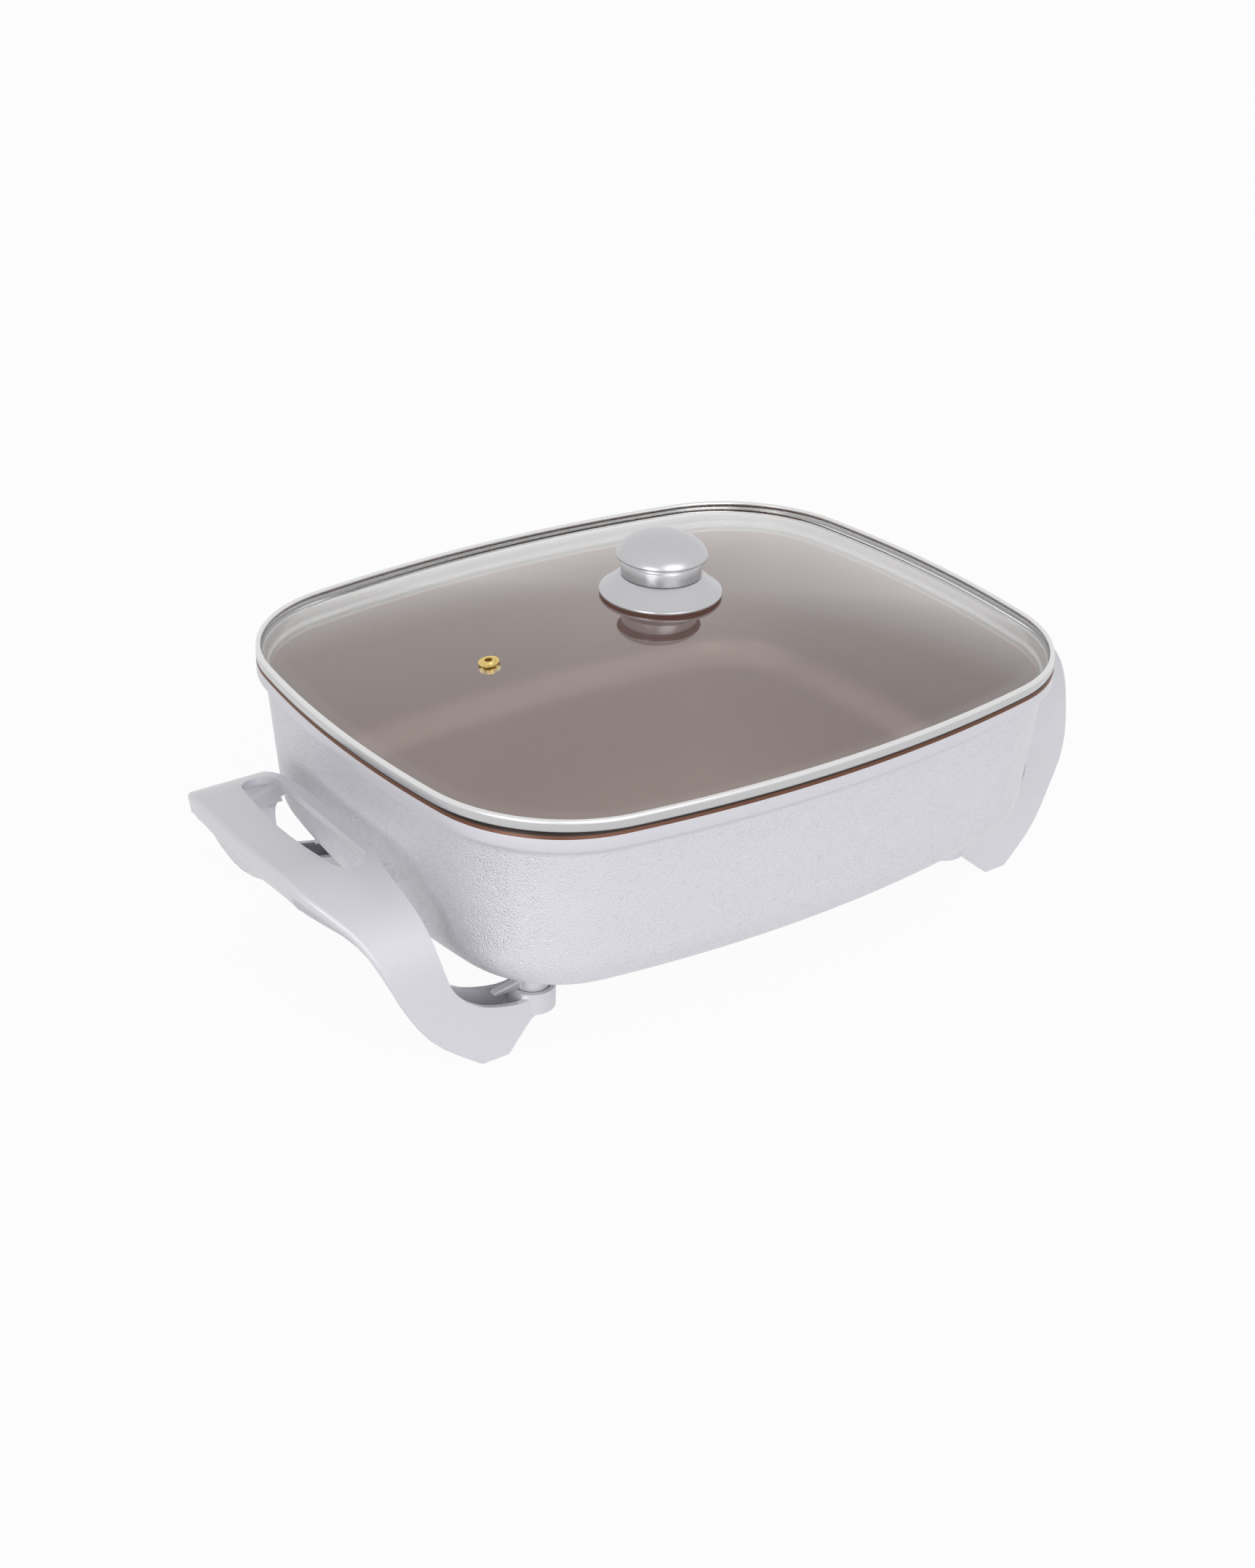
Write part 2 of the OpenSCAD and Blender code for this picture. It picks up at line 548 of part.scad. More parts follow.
// Hand hole: straight on the pan's side, bowed on the other, with round ends
function hole_width(y) = hand_hole_w - hand_hole_bow * pow(y / hole_half, 2);
hole_end = 9;
hole_wall_t = 2;
function hole_round(y) =
    let (e = max(0, abs(y) - (hole_half - hole_end)) / hole_end) sqrt(max(0, 1 - e * e));
hole_ys = [for (i = [-20:20]) hole_half * sin(90 * i / 20)];
function hole_mid(y) = hand_hole_in + hole_width(y) / 2;
module hand_hole() {
    polygon(concat(
        [for (y = hole_ys) [hole_mid(y) + hole_width(y) / 2 * hole_round(y), y]],
        [for (i = [len(hole_ys) - 1:-1:0]) let (y = hole_ys[i])
            [hole_mid(y) - hole_width(y) / 2 * hole_round(y), y]]));
}
// Plan of the grip's bar, between hand hole and outer edge, moved in by inset
module bar_plan(half, in_side, out_side) {
    ys = [for (i = [-12:12]) half * i / 12];
    polygon(concat([for (y = ys) [hand_hole_in + hole_width(y) + in_side, y]],
                   [for (i = [len(ys) - 1:-1:0]) [grip_edge(ys[i]) - out_side, ys[i]]]));
}
boss_x = grip_reach - grip_bar_w / 2 - 1.5;
boss_r = 3.2;
underside_z = grip_z - strip_h - underside_h;
boss_z = underside_z + mould_t + 1;
module at_grip_screws(z) { for (s = [-1, 1]) translate([boss_x, s * grip_screw_y, z]) children(); }
module at_cups() { for (s = [-1, 1]) translate([lug_x, s * lug_y, 0]) children(); }
module handle() {
    difference() {
        union() {
            difference() {
                intersection() {
                    arch_block(0, 0, 0, lug_x - 40);
                    handle_outline();
                }
                intersection() {
                    arch_block(mould_t, mould_t, mould_t * 1.1, lug_x - 50);
                    leg_hollow();
                }
                sole_cut(0);
                // window that the shell under the grip closes
                intersection() {
                    under_arch(strip_h);
                    translate([lug_x, -underside_l / 2 - seat, 0])
                        cube([far, underside_l + 2 * seat, far]);
                }
            }
            // thicker plate around the hand hole
            intersection() {
                difference() {
                    under_arch(mould_t / 2);
                    under_arch(plate_t);
                }
                linear_extrude(far) plate_plan();
            }
            hole_end_walls();
            at_grip_screws(boss_z) cylinder(r = boss_r, h = grip_z - mould_t / 2 - boss_z, $fn = 40);
            at_cups() translate([0, 0, cup_z]) cylinder(r = cup_r, h = cup_top - cup_z, $fn = 96);
        }
        translate([0, 0, grip_z / 2]) linear_extrude(far) hand_hole();
        at_cups() {
            translate([0, 0, cup_seat_z]) cylinder(r = lug_r + 0.8, h = 30, $fn = 64);
            translate([0, 0, cup_z - 1]) cylinder(r = leg_screw_r + 0.25, h = 20, $fn = 48);
            translate([0, 0, cup_z - 1]) cylinder(r = leg_head_r + 0.4, h = 5, $fn = 48);
        }
        at_grip_screws(underside_z) cylinder(r = grip_screw_r + slip / 2, h = 12, $fn = 32);
    }
}
// Walls that close the legs' hollows off from the hand hole, beside the shell under the
// grip; each ends in a rounded rib that stands out towards the pan
rib_in = grip_in - 3.5;
module hole_end_walls() {
    low = grip_z - grip_depth;
    top = grip_z - plate_t - 1;
    y = underside_l / 2 + seat;
    for (s = [0, 1]) mirror([0, s, 0]) {
        intersection() {
            arch_block(mould_t / 2, 0, mould_t / 2, lug_x - 40);
            handle_outline();
            translate([lug_x, y, underside_z])
                cube([far, hole_wall_t, grip_z - mould_t / 2 - underside_z]);
        }
        translate([0, y + hole_wall_t, 0]) rotate([90, 0, 0]) linear_extrude(hole_wall_t)
            polygon([[rib_in, low + 3.4], [rib_in + 0.9, low + 1.2], [rib_in + 3, low + 0.2],
                     [hand_hole_in, low + 0.2], [hand_hole_in, top], [rib_in + 3, top],
                     [rib_in + 0.6, top - 2], [rib_in, top - 5]]);
    }
}
// Plan of the grip's plate
plate_ys = [for (i = [-14:14]) plate_half * i / 14];
module plate_plan() {
    polygon(concat([for (y = plate_ys) [inner_x(y), y]],
                   [for (i = [len(plate_ys) - 1:-1:0])
                       [grip_edge(plate_ys[i]) - mould_t / 2, plate_ys[i]]]));
}
// Outline seen from the front for the legs, from above for the grip
module handle_outline() {
    difference() {
        leg_profile();
        translate([0, -plate_half, grip_z - 7]) cube([far, 2 * plate_half, 20]);
    }
    translate([0, 0, grip_z - 7]) linear_extrude(20)
        polygon(concat([for (y = plate_ys) [inner_x(y), y]], [[far, plate_half], [far, -plate_half]]));
}
module grip_underside() {
    top = strip_h + seat;
    half = underside_l / 2;
    difference() {
        union() {
            intersection() {
                arch_block(top, 0, 0, lug_x);
                linear_extrude(far) bar_plan(half, 0.8, 0);
            }
            // wall along the hand hole, up to the plate
            intersection() {
                under_arch(plate_t + seat);
                translate([0, 0, underside_z + 1]) linear_extrude(40) difference() {
                    bar_plan(half - 4, 0.8, 8);
                    bar_plan(half - 3, 0.8 + mould_t, 0);
                }
            }
        }
        intersection() {
            arch_block(top - 1, mould_t, mould_t, lug_x);
            linear_extrude(far) bar_plan(half - mould_t, 0.8 + mould_t, 0);
        }
        at_grip_screws(underside_z - 1) cylinder(r = grip_screw_r + 0.25, h = 12, $fn = 32);
    }
}
module grip_screws() { at_grip_screws(underside_z - 1.7) screw(grip_screw_r, 9, 2.8, 1.6); }
module leg_washers() {
    at_cups() translate([0, 0, cup_seat_z]) difference() {
        cylinder(r = lug_r, h = washer_t, $fn = 64);
        translate([0, 0, -1]) cylinder(r = leg_screw_r + slip, h = washer_t + 2, $fn = 48);
    }
}
module leg_screws() {
    at_cups() translate([0, 0, cup_z + 1]) screw(leg_screw_r, lug_z + 12 - cup_z - 4, leg_head_r, 3);
}

module left_handle() { color(c_plastic) mirror([1, 0, 0]) handle(); }
module right_handle() { color(c_plastic) handle(); }
module left_grip_underside() { color(c_plastic) mirror([1, 0, 0]) grip_underside(); }
module right_grip_underside() { color(c_plastic) grip_underside(); }
module left_grip_screws() { color(c_steel) mirror([1, 0, 0]) grip_screws(); }
module right_grip_screws() { color(c_steel) grip_screws(); }
module left_leg_washers() { color(c_dark) mirror([1, 0, 0]) leg_washers(); }
module right_leg_washers() { color(c_dark) leg_washers(); }
module left_leg_screws() { color(c_steel) mirror([1, 0, 0]) leg_screws(); }
module right_leg_screws() { color(c_steel) leg_screws(); }

// ---------------------------------------------------------------- lid
band_z = rim_z + lid_gap;
band_top = band_z + band_h;
glass_edge_z = band_z + band_t + 0.1 + glass_t;    // top of the glass inside the band
glass_inset = band_t + 1.1;
dome_start = 1 - glass_margin / lid_a;     // share of the outline where the dome starts
dome_power = 2.2;
function dome_z(s) = glass_edge_z + dome_h * (1 - pow(min(1, s / dome_start), dome_power));
glass_shares = [0.07, 0.2, 0.34, 0.47, 0.59, 0.7, 0.79, 0.86, 0.92, dome_start, 1];
apex_z = dome_z(glass_shares[0]);         // the glass is flat under the knob
// the band's section: lower lip, skirt, outer side, rounded top and the lip that curls down
// to the glass; then back along the inside
skirt_z = band_z - band_skirt;
curl_z = glass_edge_z + 0.1;
band_section = [[band_w, band_z], [1.3, band_z], [1.1, skirt_z + 0.3], [0.8, skirt_z], [0.3, skirt_z],
                [0, skirt_z + 0.5], [0, band_top - 1.6], [0.35, band_top - 0.6], [1, band_top],
                [band_w - 1, band_top], [band_w - 0.3, band_top - 0.4], [band_w, band_top - 1.1],
                [band_w, curl_z], [band_w - band_t, curl_z], [band_w - band_t, band_top - 1.1],
                [band_w - 1, band_top - band_t], [1.1, band_top - band_t], [band_t, band_top - 1.6],
                [band_t, band_z + 1], [1, band_z + band_t], [band_w, band_z + band_t]];
module lid_band() {
    rings = [for (i = [len(band_section) - 1:-1:0])
        let (p = band_section[i]) lift(ring(lid_arcs, p[0]), p[1])];
    color(c_steel) skin(rings, closed = true);
}
function scaled(points, k) = [for (p = points) k * p];
vent_share = vent_x / lid_a;
vent_slope = dome_h * dome_power * pow(vent_share / dome_start, dome_power - 1) / dome_start / lid_a;
module at_vent() {
    translate([-vent_x, -vent_y, dome_z(vent_share)]) rotate([0, -atan(vent_slope), 0]) children();
}
vent_hole_r = vent_bore_r + 1.2;
module lid_glass() {
    edge = ring(lid_arcs, glass_inset);
    n = len(glass_shares);
    color([0.8, 0.85, 0.85, 0.4]) difference() {
        skin(concat(
            [for (i = [0:n - 1]) lift(scaled(edge, glass_shares[i]), dome_z(glass_shares[i]))],
            [for (i = [n - 1:-1:0])
                lift(scaled(edge, glass_shares[i]), dome_z(glass_shares[i]) - glass_t)]));
        translate([0, 0, apex_z - glass_t - 5])
            cylinder(r = knob_screw_r + 0.5, h = glass_t + 10, $fn = 48);
        at_vent() translate([0, 0, -glass_t - 5])
            cylinder(r = vent_hole_r + slip, h = glass_t + 10, $fn = 48);
    }
}
module vent_eyelet() {
    color(c_brass) at_vent() difference() {
        union() {
            translate([0, 0, -glass_t - 2.2]) cylinder(r = vent_hole_r, h = glass_t + 3, $fn = 48);
            translate([0, 0, seat]) cylinder(r = vent_ring_r, h = 0.7, $fn = 48);
            translate([0, 0, seat + 0.6])
                cylinder(r1 = vent_hole_r + 0.8, r2 = vent_hole_r, h = 1, $fn = 48);
        }
        translate([0, 0, -glass_t - 5]) cylinder(r = vent_bore_r, h = glass_t + 12, $fn = 48);
    }
}
module vent_washer() {
    color(c_brass) at_vent() translate([0, 0, -glass_t - 1.4]) difference() {
        cylinder(r = vent_ring_r, h = 0.8, $fn = 48);
        translate([0, 0, -1]) cylinder(r = vent_hole_r + slip / 2, h = 3, $fn = 48);
    }
}

// ---------------------------------------------------------------- knob
seal_t = 0.6;
flange_z = apex_z + seal_t;
neck_z = flange_z + flange_edge_h + flange_rise;
head_z = neck_z + neck_h;
knob_washer_r = 8.5;
module knob_seal() {
    color(c_dark) translate([0, 0, apex_z]) difference() {
        cylinder(r = knob_washer_r, h = seal_t, $fn = 64);
        translate([0, 0, -1]) cylinder(r = knob_screw_r + 0.3, h = 3, $fn = 48);
    }
}
module knob_flange() {
    color(c_plastic) rotate_extrude($fn = 128) polygon([
        [knob_screw_r + 0.3, flange_z], [flange_r - 0.5, flange_z], [flange_r, flange_z + 0.4],
        [flange_r, flange_z + flange_edge_h - 0.5], [flange_r - 0.6, flange_z + flange_edge_h],
        [neck_r + 0.8, neck_z], [knob_screw_r + 0.3, neck_z]]);
}
head_steps = 14;
module knob_head() {
    ridge_z = neck_z + neck_h * 0.72;
    color(c_plastic) rotate_extrude($fn = 128) polygon(concat(
        [[insert_r + slip, neck_z], [neck_r - 0.5, neck_z], [neck_r, neck_z + 0.5], [neck_r, ridge_z],
         [neck_r - 0.5, ridge_z + 0.5], [neck_r - 0.6, head_z - 0.2], [head_r - 0.6, head_z],
         [head_r - 0.1, head_z + 0.3]],
        [for (i = [0:head_steps - 1]) let (w = 90 * i / head_steps)
            [head_r * pow(cos(w), 0.9), head_z + 0.8 + (head_h - 0.8) * pow(sin(w), 1.25)]],
        [[0, head_z + head_h], [0, insert_z + insert_l], [insert_r + slip, insert_z + insert_l]]));
}
insert_r = 4.5;
insert_l = 16;
insert_z = neck_z;
module knob_insert() {
    color(c_brass) translate([0, 0, insert_z]) difference() {
        cylinder(r = insert_r, h = insert_l - slip, $fn = 48);
        translate([0, 0, -1]) cylinder(r = knob_screw_r + slip / 2, h = insert_l - 1, $fn = 48);
    }
}
knob_washer_t = 1;
module knob_washer() {
    color(c_steel) translate([0, 0, apex_z - glass_t - knob_washer_t]) difference() {
        cylinder(r = knob_washer_r, h = knob_washer_t, $fn = 64);
        translate([0, 0, -1]) cylinder(r = knob_screw_r + 0.3, h = 3, $fn = 48);
    }
}
module knob_screw() {
    head_h = 2.6;
    z = apex_z - glass_t - knob_washer_t - head_h;
    color(c_steel) translate([0, 0, z])
        screw(knob_screw_r, insert_z + insert_l - 6 - z - head_h, 5, head_h);
}

pan();
heating_element();
terminal_pins();
terminal_insulators();
probe_sleeve();
terminal_guard();
guard_screws();
left_handle();
left_grip_underside();
left_grip_screws();
left_leg_washers();
left_leg_screws();
right_handle();
right_grip_underside();
right_grip_screws();
right_leg_washers();
right_leg_screws();
lid_glass();
lid_band();
vent_eyelet();
vent_washer();
knob_flange();
knob_head();
knob_insert();
knob_seal();
knob_washer();
knob_screw();
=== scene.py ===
# %% [markdown]
# # An electric skillet with a domed glass lid
# The skillet is a deep cast pan that stands on two moulded handles. A loose lid of glass, held in a
# steel band, rests on its rim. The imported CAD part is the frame: it says where each piece is. Each
# cell below dresses one piece of it with a smoother shape or a finish. Shapes are written in
# millimetres and become metres where their vertices are placed.

# %% Load the frame
import math

import bmesh
import bpy
from mathutils import Matrix, Vector


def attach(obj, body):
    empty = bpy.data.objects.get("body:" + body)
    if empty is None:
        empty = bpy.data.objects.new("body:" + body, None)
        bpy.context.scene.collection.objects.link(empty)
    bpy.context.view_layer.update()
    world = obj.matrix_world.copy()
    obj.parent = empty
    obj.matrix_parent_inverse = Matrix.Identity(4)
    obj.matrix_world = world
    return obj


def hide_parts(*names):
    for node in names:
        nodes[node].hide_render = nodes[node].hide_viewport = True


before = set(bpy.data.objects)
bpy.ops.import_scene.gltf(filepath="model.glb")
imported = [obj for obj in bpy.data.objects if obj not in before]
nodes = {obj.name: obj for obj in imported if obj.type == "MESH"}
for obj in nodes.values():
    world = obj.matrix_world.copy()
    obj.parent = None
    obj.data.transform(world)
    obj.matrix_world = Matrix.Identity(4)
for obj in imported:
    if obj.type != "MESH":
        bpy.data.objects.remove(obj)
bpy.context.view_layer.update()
MM = 0.001

# %% [markdown]
# ## Camera
# The camera stands at the left front corner, about 28 degrees above the pan's rim. Its three axes are
# written as the columns of a matrix: to the right, up, and back towards the viewer. A long lens keeps
# the sides of the pan nearly parallel.

# %% Place the camera
FILM_WIDTH, FOCAL_LENGTH = 36, 52.413
FARTHEST_SEEN = 60
EYE = Vector((-0.68563, -0.88839, 0.66248))
RIGHT = Vector((0.80867774, -0.58744805, 0.03074241))
UP = Vector((0.25706928, 0.39991992, 0.87976102))
BACK = Vector((-0.52910839, -0.70354023, 0.47442118))

lens = bpy.data.cameras.new("camera")
lens.sensor_width = FILM_WIDTH
lens.lens = FOCAL_LENGTH
lens.clip_end = FARTHEST_SEEN
camera = bpy.data.objects.new("camera", lens)
bpy.context.scene.collection.objects.link(camera)
turn = Matrix((RIGHT, UP, BACK)).transposed()
camera.matrix_world = Matrix.Translation(EYE) @ turn.to_4x4()
bpy.context.scene.camera = camera
bpy.context.scene.view_settings.view_transform = "Standard"
print("camera at", [round(v, 3) for v in camera.location], "lens", lens.lens)

# %% [markdown]
# ## One small class for shader maths
# A material is a tree of nodes. Wrapping a socket in a class lets an ordinary expression such as
# `1 - mask * 0.5` build the Math nodes, which is easier to read than a list of links. Every other node
# comes from `node`, which sets the node's options first and then its sockets.

# %% Shader maths
class Socket:
    """An output socket of a node tree; arithmetic on it adds Math nodes."""

    def __init__(self, tree, socket=None):
        self.tree, self.socket = tree, socket

    def node(self, kind, settings=None, inputs=None, output=0):
        """Adds a node and gives back one of its outputs."""
        made = self.tree.nodes.new(kind)
        for name, value in (settings or {}).items():
            setattr(made, name, value)
        for name, value in (inputs or {}).items():
            if isinstance(value, Socket):
                self.tree.links.new(value.socket, made.inputs[name])
            else:
                made.inputs[name].default_value = value
        return Socket(self.tree, made.outputs[output])

    def math(self, operation, *values, clamp=False):
        options = {"operation": operation, "use_clamp": clamp}
        return self.node("ShaderNodeMath", options, dict(enumerate(values)))

    def __add__(self, other):
        return self.math("ADD", self, other)

    def __sub__(self, other):
        return self.math("SUBTRACT", self, other)

    def __rsub__(self, other):
        return self.math("SUBTRACT", other, self)

    def __mul__(self, other):
        return self.math("MULTIPLY", self, other)

    def __truediv__(self, other):
        return self.math("DIVIDE", self, other)

    __radd__ = __add__
    __rmul__ = __mul__

    def rise(self, low, high):
        """0 below low, 1 above high and smooth in between."""
        limits = {"From Min": low, "From Max": high, "Value": self}
        return self.node("ShaderNodeMapRange", {"interpolation_type": "SMOOTHSTEP"}, limits)


# A Mix node has a set of sockets for each kind of value; these are the ones for colours.
MIX_FACTOR, MIX_FIRST, MIX_SECOND, MIX_RESULT = 0, 6, 7, 2


def colours(factor, first, second):
    """The colour first where factor is 0 and second where it is 1."""
    first, second = [(*c, 1) if isinstance(c, tuple) else c for c in (first, second)]
    inputs = {MIX_FACTOR: factor, MIX_FIRST: first, MIX_SECOND: second}
    return factor.node("ShaderNodeMix", {"data_type": "RGBA"}, inputs, MIX_RESULT)


# %% [markdown]
# ## A finish
# Nearly every finish is one Principled shader. `finish` makes the material, hands its tree and the
# object's own coordinates to a recipe, and links what the recipe returns to the shader. The pattern
# sits still on a piece, because it reads the piece's coordinates in metres.

# %% Make a finish
def finish(name, recipe, **plain):
    """A material: recipe gives the sockets that vary over the surface, plain those that don't."""
    material = bpy.data.materials.new(name)
    material.use_nodes = True
    tree = material.node_tree
    shader = tree.nodes["Principled BSDF"]
    for socket, value in plain.items():
        shader.inputs[socket.replace("_", " ")].default_value = value
    place = Socket(tree).node("ShaderNodeTexCoord", output="Object")
    for socket, value in recipe(place).items():
        tree.links.new(value.socket, shader.inputs[socket])
    print("finish", name, "has", len(tree.nodes), "nodes")
    return material


def surface(colour, rough, relief, depth, strength=0.5):
    """What a recipe returns; the relief is depth metres deep and strength says how much it counts."""
    bump = {"Strength": strength, "Distance": depth, "Height": relief}
    normal = relief.node("ShaderNodeBump", None, bump)
    return {"Base Color": colour, "Roughness": rough, "Normal": normal}


# %% [markdown]
# ## Patterns and zones
# Two textures do most of the work: soft noise for stains, scuffs and flakes, and rounded cells for
# pebbles. Some finishes change with the place on the piece, such as the painted wall and the smooth
# band above it. Splitting the coordinates and fading between two limits gives such a zone a soft edge.

# %% Noise, pebbles and zones
def noise(place, scale, detail=2.0, roughness=0.5, stretch=(1, 1, 1)):
    """Soft noise with a grain of about 1 / scale metres, longer along an axis with a small stretch."""
    if stretch != (1, 1, 1):
        place = place.node("ShaderNodeMapping", None, {"Vector": place, "Scale": stretch})
    sockets = {"Vector": place, "Scale": scale, "Detail": detail, "Roughness": roughness}
    return place.node("ShaderNodeTexNoise", None, sockets)


def pebbles(place, scale, smoothness):
    """Rounded cells, 0 in the middle of a cell and rising to its edge."""
    options = {"feature": "SMOOTH_F1"}
    sockets = {"Vector": place, "Scale": scale, "Smoothness": smoothness}
    return place.node("ShaderNodeTexVoronoi", options, sockets)


def above(place, low, high):
    """0 below the height low, 1 above the height high, both in mm."""
    height = place.node("ShaderNodeSeparateXYZ", None, {"Vector": place}, "Z")
    return height.rise(low * MM, high * MM)


def beyond(place, low, high):
    """0 where a point is less than low mm from the middle towards a handle, 1 past high."""
    across = place.node("ShaderNodeSeparateXYZ", None, {"Vector": place}, "X")
    return place.math("ABSOLUTE", across).rise(low * MM, high * MM)


# %% [markdown]
# ## Surfaces built from nothing
# The world, the floor and the glass need no Principled shader. Each of them mixes two simpler ones.
# `empty_tree` clears what Blender puts there at first, and `mix_surface` ends the tree. The world and
# the floor also need to know whether they are looked at, straight on or by way of a mirror or glass.

# %% Mix two shaders
WHITE = (1, 1, 1, 1)


def empty_tree(owner):
    """The cleared node tree of a world or material, ready for its first node."""
    owner.use_nodes = True
    owner.node_tree.nodes.clear()
    return Socket(owner.node_tree)


def mix_surface(start, output_kind, factor, first, second):
    """Shows the shader first where factor is 0 and second where it is 1."""
    # A Mix Shader's sockets are its factor and its two shaders, in this order.
    mix = start.node("ShaderNodeMixShader", None, {0: factor, 1: first, 2: second})
    output = start.tree.nodes.new(output_kind)
    start.tree.links.new(mix.socket, output.inputs["Surface"])


def looked_at(start):
    """1 for what the camera, a mirror reflection or glass sees of the surface, 0 for other light."""
    kinds = ("Is Camera Ray", "Is Glossy Ray", "Is Transmission Ray")
    eye, mirror, glass = [start.node("ShaderNodeLightPath", output=kind) for kind in kinds]
    return start.math("ADD", eye + mirror, glass, clamp=True)


# %% [markdown]
# ## Light
# Plain studio light: a large soft lamp in front, a little to the left, makes the long front side the
# brightest. A smaller one, low at the left, reaches the short side and the handle, and an even grey
# world fills the rest. The world is white only for what the camera, a mirror reflection or glass sees
# of it, so the background is white without more light on the pan.

# %% World and lamps
FILL = 0.62
world = bpy.data.worlds.new("studio")
bpy.context.scene.world = world
sky = empty_tree(world)
fill = sky.node("ShaderNodeBackground", None, {"Color": WHITE, "Strength": FILL})
backdrop = sky.node("ShaderNodeBackground", None, {"Color": WHITE, "Strength": 1.0})
mix_surface(sky, "ShaderNodeOutputWorld", looked_at(sky), fill, backdrop)


def soft_lamp(name, place, target, size, watts):
    """A round lamp, size metres across, that shines from place towards target."""
    lamp = bpy.data.lights.new(name, "AREA")
    lamp.shape = "DISK"
    lamp.size, lamp.energy = size, watts
    holder = bpy.data.objects.new(name, lamp)
    holder.location = place
    holder.rotation_euler = (Vector(place) - Vector(target)).to_track_quat("Z", "Y").to_euler()
    bpy.context.scene.collection.objects.link(holder)
    print(name, "lamp,", watts, "W")


soft_lamp("front", place=(-0.35, -3.3, 1.45), target=(0, 0, 0.1), size=3, watts=41)
soft_lamp("left", place=(-3.1, -1.6, 0.5), target=(0, 0, 0.08), size=1.6, watts=31)

# %% [markdown]
# ## Floor
# The floor is part of the studio, not of the skillet. It shows mostly its own white to the camera, with
# enough of a plain matte surface mixed in to keep the soft shadow under the pan.

# %% Floor
FLOOR_RADIUS = 4.5
OWN_WHITE = 0.94
PAPER_GREY = (0.86, 0.86, 0.86, 1)

ground = bmesh.new()
bmesh.ops.create_circle(ground, cap_ends=True, radius=FLOOR_RADIUS, segments=64)
floor_mesh = bpy.data.meshes.new("floor")
ground.to_mesh(floor_mesh)
ground.free()
floor = bpy.data.objects.new("floor", floor_mesh)
bpy.context.scene.collection.objects.link(floor)
paper = bpy.data.materials.new("studio_paper")
sheet = empty_tree(paper)
matte = sheet.node("ShaderNodeBsdfDiffuse", None, {"Color": PAPER_GREY})
glow = sheet.node("ShaderNodeEmission", None, {"Color": WHITE, "Strength": 1.0})
mix_surface(sheet, "ShaderNodeOutputMaterial", looked_at(sheet) * OWN_WHITE, matte, glow)
floor_mesh.materials.append(paper)
print("floor of", 2 * FLOOR_RADIUS, "m across")

# %% [markdown]
# ## The pan's painted outside
# The cast aluminium is coated with a lilac-silver hammered paint: small round pebbles, about a
# millimetre across, with a fine metal flake. The band around the rim and the lugs under the pan are left
# smooth. Rounded cells give the pebbles, a slow noise makes some of them flatter, and the height of a
# point fades the relief out. The relief is deeper on the short ends, behind the handles.

# %% Hammered paint
LUG_TOPS = (40.5, 42.5)
SMOOTH_RIM = (127.5, 131.2)
SHORT_ENDS = (150, 190)


def hammered_paint(place):
    rim = above(place, *SMOOTH_RIM)
    patches = noise(place, 120).rise(0.3, 0.7)
    cells = pebbles(place, 1150, 0.15)
    relief = (1 - 1.6 * cells * cells) * (0.65 + 0.35 * patches) + noise(place, 2300) * 0.2
    deeper = 1 + 0.9 * beyond(place, *SHORT_ENDS)
    hammered = relief * deeper * above(place, *LUG_TOPS) * (1 - rim)
    flake = noise(place, 900, 2, 0.6).rise(0.35, 0.65)
    shade = flake * 0.4 + cells * 0.6 + rim * 0.5
    colour = colours(shade, (0.712, 0.705, 0.750), (0.632, 0.624, 0.672))
    return surface(colour, 0.34 + 0.12 * flake, hammered, 0.0002, 1)


thin_coat = {"Coat_Weight": 0.1, "Coat_Roughness": 0.25}
pan_paint = finish("hammered_silver_paint", hammered_paint, Metallic=0.4, **thin_coat)

# %% [markdown]
# ## The non-stick coating
# Inside, and over the sloping edge of the rim, the pan has a copper-coloured non-stick coating. It is a
# smooth sprayed ceramic with a satin shine and a faint speckle. On the edge it is darker than inside.
# The top of the rim, where the lid sits, is painted nearly black: a painted shadow of the gap under the
# lid's band. The ledge inside this painted ring is rubbed down to bare metal by the lid. The height of
# a point tells these zones apart.

# %% Copper coating
COATED_EDGE = (137.5, 138.5)
PAINTED_GAP_SHADOW = (139.7, 140.6)


def copper_coating(place):
    speckle = noise(place, 1500, 3, 0.7).rise(0.52, 0.72)
    cloud = noise(place, 30)
    mottle = speckle * 0.35 + cloud * 0.25
    inside = colours(mottle, (0.330, 0.178, 0.140), (0.240, 0.128, 0.100))
    edge = colours(mottle, (0.130, 0.042, 0.015), (0.100, 0.031, 0.010))
    # Painted shadow: above these heights the coating turns nearly black, standing for the shade in the
    # gap under the lid's band.
    ring = above(place, *PAINTED_GAP_SHADOW)
    colour = colours(above(place, *COATED_EDGE), inside, edge)
    colour = colours(ring, colour, (0.020, 0.009, 0.006))
    orange_peel = noise(place, 420)
    return surface(colour, 0.34 + 0.14 * cloud + 0.4 * ring, orange_peel, 0.00012)


def rubbed_lip(place):
    scuffs = noise(place, 240, 3, 0.6, (0.3, 0.3, 3))
    colour = colours(scuffs.rise(0.35, 0.7), (0.46, 0.43, 0.43), (0.58, 0.56, 0.56))
    return surface(colour, 0.3 + 0.15 * scuffs, scuffs, 0.00008)


satin_coat = {"Coat_Weight": 0.2, "Coat_Roughness": 0.25}
pan_coating = finish("copper_non_stick", copper_coating, Metallic=0.3, **satin_coat)
pan_lip = finish("rubbed_lip", rubbed_lip, Metallic=0.6)

# %% [markdown]
# ## Pearl plastic
# Handles and knob are moulded in a heat-proof plastic and sprayed with a silver pearl lacquer. The
# flakes are far smaller than a pixel, so they show as a fine sparkle in colour and roughness. The
# handles also have a clear coat, and the knob's lacquer holds more metal.

# %% Silver lacquer
def pearl(place, drift_scale, dark, light):
    """The flakes, the slow drift of a sprayed coat, and the colour that both make."""
    flake = noise(place, 2600, 2, 0.7)
    drift = noise(place, drift_scale)
    return flake, drift, colours(flake.rise(0.35, 0.7) * 0.6 + drift * 0.3, dark, light)


